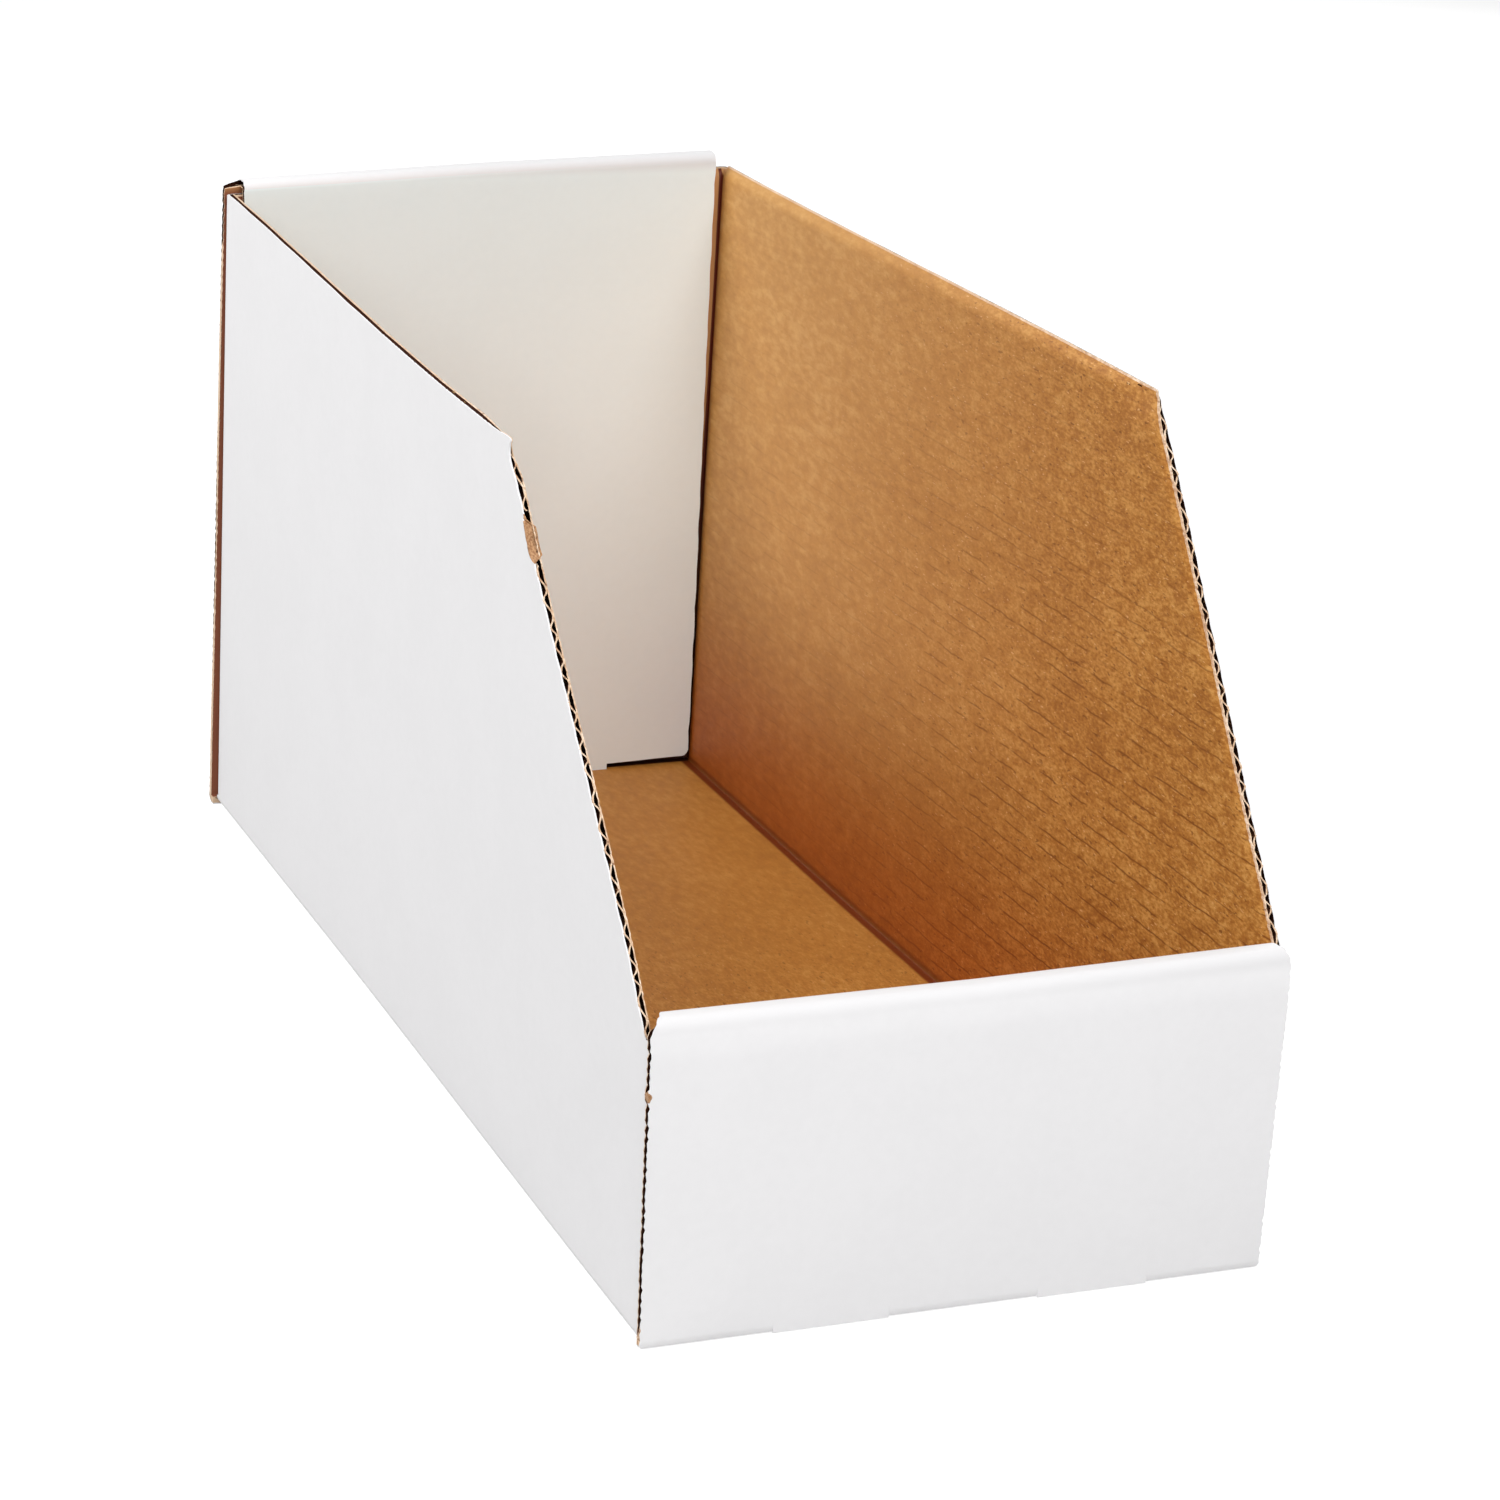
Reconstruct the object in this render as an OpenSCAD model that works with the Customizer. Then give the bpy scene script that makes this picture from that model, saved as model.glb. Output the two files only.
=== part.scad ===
// Open-front storage bin, folded from one die-cut sheet of corrugated board.
// The sheet is white outside and brown inside, and nothing in it is glued.
// Millimetres. The bin stands on z = 0, centred on x = 0 and y = 0, with its low lip toward -y.

/* [Bin] */
// Length over the front and back walls
bin_l = 610; // [450:5:800]
// Width over the two sides
bin_w = 254; // [220:2:400]
// Height of the sides along their level top edge
side_h = 305; // [240:5:400]
// Height of the rolled front lip
lip_h = 129; // [100:1:160]
// Distance from the front face back to the end of a side's level top edge
peak_set = 160; // [110:5:240]

/* [Board] */
// Thickness of the corrugated board
board_t = 4; // [3:0.1:5]
// Thickness of each facing paper
liner_t = 0.5; // [0.3:0.05:0.8]
// Thickness of the fluted paper between the facings
medium_t = 0.3; // [0.2:0.05:0.4]
// Spacing of the flutes
flute_pitch = 7.8; // [6.5:0.1:9]
// Depth to which the open flutes are cut at the sloping edges
mouth_d = 12; // [6:1:20]
// Depth of the hollow between the facings where an edge is cut along a flute
groove_d = 2; // [1:0.5:3]
// Inside radius of a fold
fold_r = 0.8; // [0.4:0.1:1.2]
// Clearance between layers that lie face to face
layer_gap = 0.3; // [0.2:0.05:0.6]

/* [Rolled walls] */
// Height of the rolled back wall above the sides
back_rise = 6; // [5.5:0.5:10]
// Distance that the back wall's outer panel stands out past each side
back_overhang = 3; // [1:0.5:5]
// Distance from a side's inner face to the top end of the front roll
front_end_gap = 1.5; // [1:0.5:4]
// Distance from a side's inner face to the top end of the back roll
back_end_gap = 3; // [2:0.5:6]
// Distance from a side's inner face to an inner panel's lower corner
low_end_gap = 1.5; // [1:0.5:4]
// Height of the cut-off shoulder at each end of the front roll
front_shoulder_h = 10; // [6:1:20]
// Height of the cut-off shoulder at each end of the back roll
back_shoulder_h = 4; // [2:0.5:20]
// Gap between an inner panel's lower edge and the floor
lift_gap = 3.5; // [2:0.5:6]
// Radius of an inner panel's lower corners
corner_r = 3; // [1:0.5:6]

/* [Locking tabs] */
// Width of a tab
tab_w = 45; // [25:1:60]
// Distance between the middles of a wall's two tabs
tab_spacing = 107; // [80:1:140]
// Height of a tab's tip above the ground
tab_tip = 0.5; // [0.2:0.1:1]
// Play of a tab in its slot, each way
slot_play = 0.5; // [0.3:0.1:1]

/* [Flaps] */
// Length of the flaps that the rolled walls hold captive
flap_l = 95; // [60:5:105]
// Distance from the underside of the front roll down to the front flap
front_flap_drop = 1.5; // [1:0.5:4]
// Distance from a side's top edge down to the back flap's
back_flap_drop = 1; // [0.5:0.5:4]
// Height of the relief cut under each flap, above the fold at the floor
relief = 0.7; // [0.5:0.1:3]

/* [Wear] */
// Height of the lower end of the torn patch on the left sloping edge
tear_z = 258; // [200:1:270]
// Height that the torn patch covers
tear_h = 18; // [8:1:24]
// Width of the torn patch
tear_w = 4; // [2:0.5:8]
// Height of the nick in the front left fold
nick_z = 96; // [40:1:98]
// Height of the nick itself
nick_h = 3; // [2:0.5:5]

/* [Hidden] */
$fn = 48;
// The outside radius of a fold, which is also how far a flat panel keeps from the corner
bend_r = fold_r + board_t;
half_w = bin_w / 2;
half_l = bin_l / 2;
in_half_w = half_w - board_t;
back_h = side_h + back_rise;
// A rolled wall is an outer panel, a captive flap and an inner panel
wall_t = 3 * board_t + 2 * layer_gap;
inner_y = wall_t - board_t;
flap_y = board_t + layer_gap;
flap_z = bend_r + relief;
front_flap_top = lip_h - board_t - front_flap_drop;
back_flap_top = side_h - back_flap_drop;
// The sloping edge runs from the inner face of the front wall up to the level top edge
slope_run = peak_set - wall_t;
slope_rise = side_h - front_flap_top;
// Half the space between the facings, and the swing of the fluted paper in it
core_half = board_t / 2 - liner_t;
wave_swing = core_half - medium_t / 2;
// Share of a flute's pitch that is glued to a facing, each side of a crest
crest = 0.12;
wave_steps = 8;
mouths = floor((slope_rise - groove_d - 2 * liner_t) / flute_pitch);
floor_w = 2 * (half_w - bend_r);
// Length added to a cut so that it passes clean through a face
cut = 1;
white_paper = "whitesmoke";
brown_paper = "tan";

// Distance back from the front face to the sloping edge at a height
function slope_y(z) = wall_t + (z - front_flap_top) * slope_run / slope_rise;

// Place across the board of the fluted paper's face, at a share of the pitch
function wave(u) = wave_swing * cos(360 * u) + medium_t / 2;

// Outline of the hollow between one facing and the fluted paper, over one pitch
function hollow_points() = concat(
    [[core_half, crest * flute_pitch]],
    [for (i = [0:wave_steps])
        let (u = crest + (1 - 2 * crest) * i / wave_steps)
        [wave(u), u * flute_pitch]],
    [[core_half, (1 - crest) * flute_pitch]]);

// Draws a y-z profile as a bar along x, centred
module along_x(length) {
    rotate([90, 0, 90]) linear_extrude(height = length, center = true) children();
}

// Draws an x-z profile as a bar along y, centred
module along_y(length) {
    rotate([90, 0, 0]) linear_extrude(height = length, center = true) children();
}

// Section of the board where it turns through a right angle
module bend_section(turn) {
    rotate(turn) intersection() {
        difference() {
            circle(r = bend_r);
            circle(r = fold_r);
        }
        square(bend_r + cut);
    }
}

// Puts a shape where each locking tab is
module at_tabs() {
    for (s = [-1, 1]) translate([s * tab_spacing / 2, 0]) children();
}

// Flat floor between the four folds
module floor_panel() {
    color(brown_paper)
    translate([-floor_w / 2, bend_r - half_l, 0]) cube([floor_w, bin_l - 2 * bend_r, board_t]);
}

// Slots in the floor for one wall's tabs, which also cut away the fold beside them
module floor_slots() {
    slot_l = wall_t + slot_play - board_t;
    at_tabs() translate([-tab_w / 2 - slot_play, board_t, -cut])
        cube([tab_w + 2 * slot_play, slot_l, bend_r + relief / 2 + cut]);
}

// The outer panel's raw lower edge where a slot has taken the fold away
module raw_feet() {
    at_tabs() translate([-tab_w / 2 - slot_play, 0, 0])
        cube([tab_w + 2 * slot_play, board_t, bend_r]);
}

// Outline of an outer panel with its cut-off shoulders, in x and z
module outer_outline(out_half, roll_half, h, shoulder_h) {
    polygon([
        [-out_half, -cut], [out_half, -cut], [out_half, h - shoulder_h],
        [roll_half, h], [-roll_half, h], [-out_half, h - shoulder_h]]);
}

// An outer panel with the fold at the floor and the fold into the roll
module outer_panel(h, out_half, roll_half, shoulder_h) {
    out_w = 2 * out_half;
    intersection() {
        union() {
            translate([0, bend_r, bend_r]) along_x(out_w) bend_section(180);
            raw_feet();
            translate([-out_half, 0, bend_r]) cube([out_w, board_t, h - 2 * bend_r]);
            translate([0, bend_r, h - bend_r]) along_x(out_w) bend_section(90);
        }
        translate([0, bend_r / 2, 0]) along_y(bend_r + 2 * cut)
            outer_outline(out_half, roll_half, h, shoulder_h);
    }
}

// Outline of an inner panel with rounded lower corners and its two tabs, in x and z
module inner_outline(roll_half, h) {
    low_half = in_half_w - low_end_gap;
    low_z = board_t + lift_gap;
    difference() {
        polygon([[-low_half, low_z], [low_half, low_z], [roll_half, h - bend_r], [-roll_half, h - bend_r]]);
        for (s = [-1, 1]) translate([s * low_half, low_z]) difference() {
            square(2 * corner_r, center = true);
            translate([-s * corner_r, corner_r]) circle(r = corner_r);
        }
    }
    at_tabs() translate([-tab_w / 2, tab_tip]) square([tab_w, low_z - tab_tip + cut]);
}

// Hollow between the facings down an upright edge that is cut along a flute
module edge_groove(edge_x, top_z) {
    for (s = [-1, 1]) translate([s * edge_x - groove_d, liner_t, bend_r])
        cube([2 * groove_d, board_t - 2 * liner_t, top_z - bend_r]);
}

// A wall that rises from the floor, rolls over at the top and comes down inside, at y = 0
module rolled_wall(h, out_half, roll_half, shoulder_h) {
    roll_w = 2 * roll_half;
    color(white_paper) {
        difference() {
            outer_panel(h, out_half, roll_half, shoulder_h);
            floor_slots();
            edge_groove(out_half, h - shoulder_h - groove_d);
        }
        translate([-roll_half, bend_r, h - board_t]) cube([roll_w, wall_t - 2 * bend_r, board_t]);
        translate([0, wall_t - bend_r, h - bend_r]) along_x(roll_w) bend_section(0);
        translate([0, inner_y + board_t / 2, 0]) along_y(board_t) inner_outline(roll_half, h);
    }
}

// Outline of a side between its three folds, in y from the front face and z
module side_outline() {
    polygon([
        [bend_r + flap_y, bend_r], [bin_l - bend_r - flap_y, bend_r],
        [bin_l - bend_r - flap_y, side_h], [peak_set, side_h],
        [wall_t, front_flap_top], [bend_r + flap_y, front_flap_top]]);
}

// A flap that turns in from a side's end, behind the outer panel of a rolled wall at y = 0
module captive_flap(top_z) {
    flap_h = top_z - flap_z;
    translate([half_w - bend_r, flap_y + bend_r, flap_z]) rotate(-90)
        linear_extrude(height = flap_h) bend_section(0);
    translate([half_w - bend_r - flap_l, flap_y, flap_z]) cube([flap_l, board_t, flap_h]);
}

// Open mouths of the flutes all the way up a sloping edge
module flute_mouths() {
    mid_x = half_w - board_t / 2;
    for (i = [0:mouths - 1]) {
        z = front_flap_top + liner_t + i * flute_pitch;
        translate([mid_x, slope_y(z + flute_pitch / 2) - half_l, z]) {
            along_y(2 * mouth_d) polygon(hollow_points());
            if (i < mouths - 1)
                translate([0, slope_y(flute_pitch / 2) - slope_y(0), flute_pitch / 2]) along_y(2 * mouth_d)
                    mirror([1, 0]) polygon(hollow_points());
        }
    }
}

// Hollow between the facings along a side's level top edge
module top_groove() {
    groove_l = bin_l - bend_r - flap_y - peak_set;
    translate([half_w - board_t + liner_t, peak_set - half_l + liner_t, side_h - groove_d])
        cube([board_t - 2 * liner_t, groove_l - liner_t, 2 * groove_d]);
}

// The right side with its fold at the floor and its two flaps
module side() {
    side_fold_l = bin_l - 2 * (bend_r + layer_gap);
    color(white_paper)
    difference() {
        union() {
            translate([half_w - bend_r, 0, bend_r]) along_y(side_fold_l) bend_section(-90);
            translate([half_w - board_t / 2, -half_l, 0]) along_x(board_t) side_outline();
            translate([0, -half_l, 0]) captive_flap(front_flap_top);
            mirror([0, 1, 0]) translate([0, -half_l, 0]) captive_flap(back_flap_top);
        }
        flute_mouths();
        top_groove();
        for (s = [0, 1]) mirror([0, s, 0]) translate([0, -half_l, 0]) relief_cut();
    }
}

// Cut between a flap's fold and the fold at the floor
module relief_cut() {
    translate([0, -cut, bend_r]) cube([half_w + cut, flap_y + bend_r + cut, relief]);
}

// Patch where the white facing is torn away beside the left sloping edge
module tear() {
    top_z = tear_z + tear_h;
    translate([-half_w, -half_l, 0]) along_x(2 * liner_t) polygon([
        [slope_y(tear_z) - cut, tear_z], [slope_y(tear_z) + tear_w, tear_z + tear_w / 2],
        [slope_y(top_z) + tear_w / 2, top_z - tear_w], [slope_y(top_z) - cut, top_z]]);
}

// Nick through the white facing of the rounded fold at the front left corner
module nick() {
    fold_mid = bend_r * (1 - cos(45));
    translate([-half_w + fold_mid, flap_y - half_l + fold_mid, nick_z])
        rotate([90, 0, -45]) cylinder(d = nick_h, h = 4 * liner_t, center = true);
}

// The whole sheet as it is folded up
module folded_bin() {
    difference() {
        union() {
            difference() {
                floor_panel();
                for (s = [0, 1]) mirror([0, s, 0]) translate([0, -half_l, 0]) floor_slots();
            }
            translate([0, -half_l, 0])
                rolled_wall(lip_h, half_w, in_half_w - front_end_gap, front_shoulder_h);
            mirror([0, 1, 0]) translate([0, -half_l, 0])
                rolled_wall(back_h, half_w + back_overhang, in_half_w - back_end_gap, back_shoulder_h);
            for (s = [0, 1]) mirror([s, 0, 0]) side();
        }
        tear();
        nick();
    }
}

folded_bin();
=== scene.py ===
"""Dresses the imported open-front storage bin as folded corrugated board.

The board is built as the real one is: a white facing, a fluted paper and a brown facing. Each is one closed
sheet with the outline of the die-cut blank, and all three are folded round the same creases.
Sizes are in millimetres, with y measured back from the bin's front face, until the meshes are made.
"""

import logging
from dataclasses import dataclass
from enum import Enum, IntEnum
from math import ceil, cos, pi, radians, sin
from typing import ClassVar

import bpy
import numpy as np
from mathutils import Matrix, Vector


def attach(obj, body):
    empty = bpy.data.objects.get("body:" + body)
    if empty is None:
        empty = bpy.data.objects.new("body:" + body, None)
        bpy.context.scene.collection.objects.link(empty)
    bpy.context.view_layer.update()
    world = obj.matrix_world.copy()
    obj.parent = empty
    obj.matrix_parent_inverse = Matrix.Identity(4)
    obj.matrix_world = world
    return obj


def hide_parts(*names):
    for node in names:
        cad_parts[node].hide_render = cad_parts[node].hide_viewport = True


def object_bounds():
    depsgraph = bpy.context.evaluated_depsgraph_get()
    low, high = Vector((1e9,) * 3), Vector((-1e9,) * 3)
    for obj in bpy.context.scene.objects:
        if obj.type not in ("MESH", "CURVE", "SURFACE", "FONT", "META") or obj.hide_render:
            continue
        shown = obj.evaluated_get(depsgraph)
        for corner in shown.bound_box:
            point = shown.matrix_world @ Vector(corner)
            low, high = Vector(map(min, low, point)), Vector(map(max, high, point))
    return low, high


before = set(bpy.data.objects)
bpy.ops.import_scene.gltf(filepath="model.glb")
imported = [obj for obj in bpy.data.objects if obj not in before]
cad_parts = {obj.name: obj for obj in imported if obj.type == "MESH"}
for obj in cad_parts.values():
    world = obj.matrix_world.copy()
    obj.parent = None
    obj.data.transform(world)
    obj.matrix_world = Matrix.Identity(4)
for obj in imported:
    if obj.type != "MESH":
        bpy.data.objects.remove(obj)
CAD_LOW, CAD_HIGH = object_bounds()

LOG = logging.getLogger("storage_bin")
MM = 0.001
PHOTO_SIDE = 1500
SENSOR_WIDTH = 36.0
SHARP_ANGLE = 38.0
TINY = 1e-6
Array = np.ndarray
Pair = tuple[float, float]
Triple = tuple[float, float, float]
Colour = tuple[float, float, float, float]


class Skin(Enum):
    """Surfaces that a paper of the board can show, in the order of a mesh's material slots."""

    WHITE = 0
    SIDE_KRAFT = 1
    # The floor's kraft is the sides' paper with its flute lines across, and with lighter tones that are
    # painted light.
    FLOOR_KRAFT = 2
    CUT_EDGE = 3
    # Painted shade: near-black brown on the fluted paper and on the facings' inner faces, so the board's
    # hollows read dark.
    FLUTE = 4
    # Painted light: a cool-tinted copy of the white that offsets the warm light bounced onto the back wall's
    # inner panel from the kraft.
    INNER_WHITE = 5


@dataclass(frozen=True)
class BinSizes:
    """Driving sizes of the folded bin."""

    length: float
    back_width: float
    back_height: float
    lip_height: float = 129.0
    peak_setback: float = 160.0
    back_rise: float = 6.0
    back_overhang: float = 3.0
    board: float = 4.0
    bend: float = 4.8
    layer_gap: float = 0.3
    low_gap: float = 1.5
    back_shoulder: float = 4.0
    front_flap_drop: float = 1.5
    back_flap_drop: float = 1.0
    flap_length: float = 95.0
    relief: float = 0.1
    tab_tip: float = 0.5
    tab_inner: float = 31.0
    tab_outer: float = 76.0
    slot_play: float = 0.5
    lift: float = 3.5
    corner: float = 3.0
    flute_pitch: float = 7.8

    @classmethod
    def from_frame(cls) -> "BinSizes":
        """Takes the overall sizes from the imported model's box."""
        span = (CAD_HIGH - CAD_LOW) / MM
        return cls(length=span.y, back_width=span.x, back_height=span.z)

    @property
    def half_width(self) -> float:
        """Distance from the middle to a side's outer face."""
        return self.back_width / 2 - self.back_overhang

    @property
    def side_height(self) -> float:
        """Height of the sides along their level top edge."""
        return self.back_height - self.back_rise

    @property
    def wall(self) -> float:
        """Thickness of a rolled wall: an outer panel, a captive flap and an inner panel."""
        return 3 * self.board + 2 * self.layer_gap

    @property
    def floor_half(self) -> float:
        """Distance from the middle to where the floor starts to bend up into a side."""
        return self.half_width - self.bend

    @property
    def flap_back(self) -> float:
        """Distance from a wall's outer face to the white face of the captive flap."""
        return self.board + self.layer_gap

    @property
    def side_start(self) -> float:
        """Distance from a wall's outer face to the flat part of a side."""
        return self.flap_back + self.bend

    @property
    def front_flap_top(self) -> float:
        """Height of the front flap and of the foot of the sloping edge."""
        return self.lip_height - self.board - self.front_flap_drop

    @property
    def slope_rise(self) -> float:
        """How much a side's sloping edge rises for each millimetre back."""
        return (self.side_height - self.front_flap_top) / (self.peak_setback - self.wall)

    @property
    def slope_foot(self) -> float:
        """Height of the sloping edge where it meets the fold of the front flap."""
        return self.front_flap_top - (self.wall - self.side_start) * self.slope_rise

    @property
    def low_edge(self) -> float:
        """Height of an inner panel's lower edge."""
        return self.board + self.lift

    @property
    def slot_end(self) -> float:
        """Distance from a wall's outer face to the far end of the slots."""
        return self.wall + self.slot_play


@dataclass(frozen=True)
class Wear:
    """Sizes and places of the wear.

    The tear is the patch torn off the left sloping edge, the nick is in the left front fold, and the tip is
    the left side's peak. The right side's top falls to the rear. The top crush is for the left and the right.
    """

    TEAR_BASE: ClassVar[float] = 0.6
    TEAR_TAPER: ClassVar[float] = -0.3

    tear_height: float = 273.0
    tear_half: float = 7.6
    tear_width: float = 6.0
    tear_crush: float = 3.1
    tear_clear: Pair = (1.1, 1.4)
    nick_height: float = 100.2
    nick_nub: float = 0.9
    nick_nub_half: float = 1.7
    nick_fill: float = 3.3
    nick_fill_half: float = 1.8
    nick_half: float = 2.6
    nick_depth: float = 0.4
    rear_fall: float = 1.1
    tip_reach: float = 4.0
    tip_drop: float = 4.0
    tip_notch: float = 2.2
    tip_notch_span: Pair = (0.6, 3.6)
    tip_rise: float = 0.8
    tip_length: float = 14.0
    tip_crush: float = 0.85
    tip_crush_length: float = 26.0
    tip_crush_height: float = 11.0
    tip_crush_reach: float = 9.0
    top_crush: Pair = (0.24, 0.8)

    def tear_shape(self, up: Array, away: Array) -> Array:
        """Distance from the middle of the torn patch, 1 at its outline.

        Args:
            up: Height above the middle in half heights, from -1 to 1.
            away: Distance behind the sloping edge in millimetres.

        Returns:
            The distance. The patch is widest toward its lower end.
        """
        width = self.tear_width * (self.TEAR_BASE + self.TEAR_TAPER * up)
        return up**4 + (away / width) ** 2


@dataclass(frozen=True)
class Lean:
    """How the panels of one hand stand off plumb: outward, upward and back at each corner of the side.

    The roll gaps are how far the tops of the walls stop short of the side. The tucks are how far the outer
    panels' ends stand in at the foot and at the top. The back panel narrows from the shoulder's start up.
    """

    front_foot: Triple
    front_top: Triple
    peak: Triple
    rear_foot: Triple
    rear_top: Triple
    bow: Triple
    roll_gap: float
    back_roll_gap: float
    front_tuck: Pair
    rear_tuck: Pair
    shoulder_start: float

    FOOT_EASE: ClassVar[float] = 430.0
    OVER_TOP: ClassVar[float] = 1.05

    def at(self, y: Array, z: Array, sizes: BinSizes) -> Array:
        """How far places on the side have moved.

        Args:
            y: Places back from the front face.
            z: Heights.
            sizes: Sizes of the bin.

        Returns:
            Outward, upward and backward moves. The foot eases from the front to the rear, and the top eases
            from the lip to the peak and from there, with a bow, to the rear.
        """
        setback = sizes.peak_setback
        to_peak = np.clip(y / setback, 0, 1)
        top_height = sizes.lip_height + (sizes.side_height - sizes.lip_height) * to_peak
        foot = self._mix(self.front_foot, self.rear_foot, smooth(y / self.FOOT_EASE))
        top = self._mix(self.front_top, self.peak, smooth(to_peak))
        to_rear = np.clip((y - setback) / (sizes.length - setback), 0, 1)
        top = self._mix(top, self.rear_top, smooth(to_rear))
        top = top + np.asarray(self.bow) * (4 * to_rear * (1 - to_rear))[..., None]
        return self._mix(foot, top, np.clip(z / top_height, 0, self.OVER_TOP))

    @staticmethod
    def _mix(first: Array | tuple, second: Array | tuple, share: Array) -> Array:
        """Goes from one move to another one."""
        return np.asarray(first) + (np.asarray(second) - np.asarray(first)) * share[..., None]


LEANS = {
    -1: Lean(
        front_foot=(1.6, 0.0, 0.0), front_top=(2.2, 0.0, 0.0), peak=(7.2, -4.9, 6.5),
        rear_foot=(-1.2, 0.0, 0.0), rear_top=(-2.9, -4.3, 0.0), bow=(1.2, -0.8, 0.0),
        roll_gap=4.4, back_roll_gap=3.0, front_tuck=(-1.4, -1.4), rear_tuck=(0.4, 2.6), shoulder_start=0.0,
    ),
    1: Lean(
        front_foot=(-0.8, 0.0, 0.0), front_top=(3.5, 2.2, 0.0), peak=(6.3, 3.3, -4.0),
        rear_foot=(-6.3, 0.0, 0.0), rear_top=(-2.0, 2.8, 0.0), bow=(0.0, 0.0, 0.0),
        roll_gap=3.9, back_roll_gap=4.9, front_tuck=(1.6, 3.2), rear_tuck=(1.6, 1.6), shoulder_start=7.2,
    ),
}
LIP_CURL = 1.2
CURL_HEIGHT = 16.0
CURL_BACK = 30.0
CURL_RUN = 17.0


def settled(x: Array, y: Array, z: Array, sizes: BinSizes) -> tuple[Array, Array, Array]:
    """Moves places of the square bin to where the real bin's leaning panels and curled front lip have them.

    Args:
        x: Places across the bin.
        y: Places back from the front face.
        z: Heights.
        sizes: Sizes of the bin.

    Returns:
        The places moved.
    """
    curl = LIP_CURL * smooth((z - sizes.lip_height) / CURL_HEIGHT + 1) * smooth((CURL_BACK - y) / CURL_RUN)
    moved = np.zeros((*x.shape, 3))
    for hand, lean in LEANS.items():
        share = np.clip(x * hand / sizes.half_width, 0, 1)
        moved += share[..., None] * lean.at(y, z, sizes)
    return x + np.sign(x) * moved[..., 0], y + moved[..., 2] + curl, z + moved[..., 1]


@dataclass(frozen=True)
class DieTeeth:
    """Ragged marks that a toothed cutting rule leaves along an edge."""

    COUNT: ClassVar[int] = 512
    LEAST: ClassVar[float] = 0.35

    seed: int
    pitch: float = 4.0
    depth: float = 0.28

    def at(self, place: Array) -> Array:
        """Depth of the marks along an edge.

        Args:
            place: Distances along the edge.

        Returns:
            How far the edge stands back at each place.
        """
        rng = np.random.default_rng(self.seed)
        size = rng.uniform(self.LEAST, 1.0, self.COUNT)
        tooth = np.floor(place / self.pitch).astype(int) % self.COUNT
        return self.depth * size[tooth] * np.sin(pi * place / self.pitch) ** 2


def stations(start: float, stop: float, step: float) -> Array:
    """Evenly spaced places.

    Args:
        start: First place.
        stop: Last place.
        step: Most that two places may be apart.

    Returns:
        The places, with both ends.
    """
    return np.linspace(start, stop, ceil(abs(stop - start) / step) + 1)


def smooth(value: Array) -> Array:
    """Eases from 0 to 1 as the value goes from 0 to 1, and holds outside that."""
    held = np.clip(value, 0.0, 1.0)
    return held * held * (3 - 2 * held)


def bell(value: Array) -> Array:
    """Falls from 1 at 0 to nothing, the same way on both sides."""
    return np.exp(-(value**2))


def middles(places: Array) -> Array:
    """Places half way between neighbouring ones."""
    return (places[1:] + places[:-1]) / 2


@dataclass(frozen=True)
class Leg:
    """One flat run or one fold of a fold path."""

    start: float
    point: Array
    angle: float
    flat: bool


class FoldPath:
    """Line of the board's white face in one plane: flat runs joined by quarter-turn folds, all one way."""

    def __init__(self, point: Pair, heading: float, runs: list[float], creases: list[float],
                 board: Pair, turn: int):
        """Lays the runs end to end.

        Args:
            point: Where the path starts.
            heading: Direction of the first run in degrees.
            runs: Lengths of the flat runs.
            creases: How sharply the white face turns at each fold, from 2 for a round fold up.
            board: Outside radius of a fold, and thickness of the board.
            turn: 1 where the folds turn left, -1 where they turn right.
        """
        self.bend, self.thickness = board
        self.creases = creases
        self.turn = turn
        self.quarter = self.bend * pi / 2
        self.legs: list[Leg] = []
        here = np.array(point, float)
        angle = radians(heading)
        gone = 0.0
        for number, run in enumerate(runs):
            self.legs.append(Leg(gone, here, angle, True))
            here = here + run * self._ahead(angle)
            gone += run
            if number == len(runs) - 1:
                break
            self.legs.append(Leg(gone, here, angle, False))
            centre = here + self.bend * self._inward(angle)
            angle += turn * pi / 2
            here = centre - self.bend * self._inward(angle)
            gone += self.quarter
        self.length = gone

    def _ahead(self, angle: float) -> Array:
        """Unit vector along a heading."""
        return np.array([cos(angle), sin(angle)])

    def _inward(self, angle: float) -> Array:
        """Unit vector from the white face toward the brown one."""
        return self._ahead(angle + self.turn * pi / 2)

    def leg_at(self, gone: Array) -> Array:
        """Number of the leg that holds each distance."""
        starts = np.array([leg.start for leg in self.legs])
        return np.clip(np.searchsorted(starts, gone, side="right") - 1, 0, len(self.legs) - 1)

    def at(self, gone: Array, depth: Array) -> tuple[Array, Array]:
        """Places on the folded board.

        Args:
            gone: Distances along the white face.
            depth: Depths below the white face.

        Returns:
            The two coordinates in the path's plane.
        """
        gone, depth = np.broadcast_arrays(gone, depth)
        first = np.zeros(gone.shape)
        second = np.zeros(gone.shape)
        holder = self.leg_at(gone)
        for number, leg in enumerate(self.legs):
            here = holder == number
            if not here.any():
                continue
            along = gone[here] - leg.start
            if leg.flat:
                ahead = self._ahead(leg.angle)
                inward = self._inward(leg.angle)
                first[here] = leg.point[0] + along * ahead[0] + depth[here] * inward[0]
                second[here] = leg.point[1] + along * ahead[1] + depth[here] * inward[1]
            else:
                centre = leg.point + self.bend * self._inward(leg.angle)
                swing = along / self.bend
                power = self.creases[number // 2]
                squared = self.bend * (np.cos(swing) ** power + np.sin(swing) ** power) ** (-1 / power)
                inside = self.bend - self.thickness
                radius = squared + (inside - squared) * depth[here] / self.thickness
                swung = leg.angle + self.turn * (swing + pi / 2)
                first[here] = centre[0] - radius * np.cos(swung)
                second[here] = centre[1] - radius * np.sin(swung)
        return first, second


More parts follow.
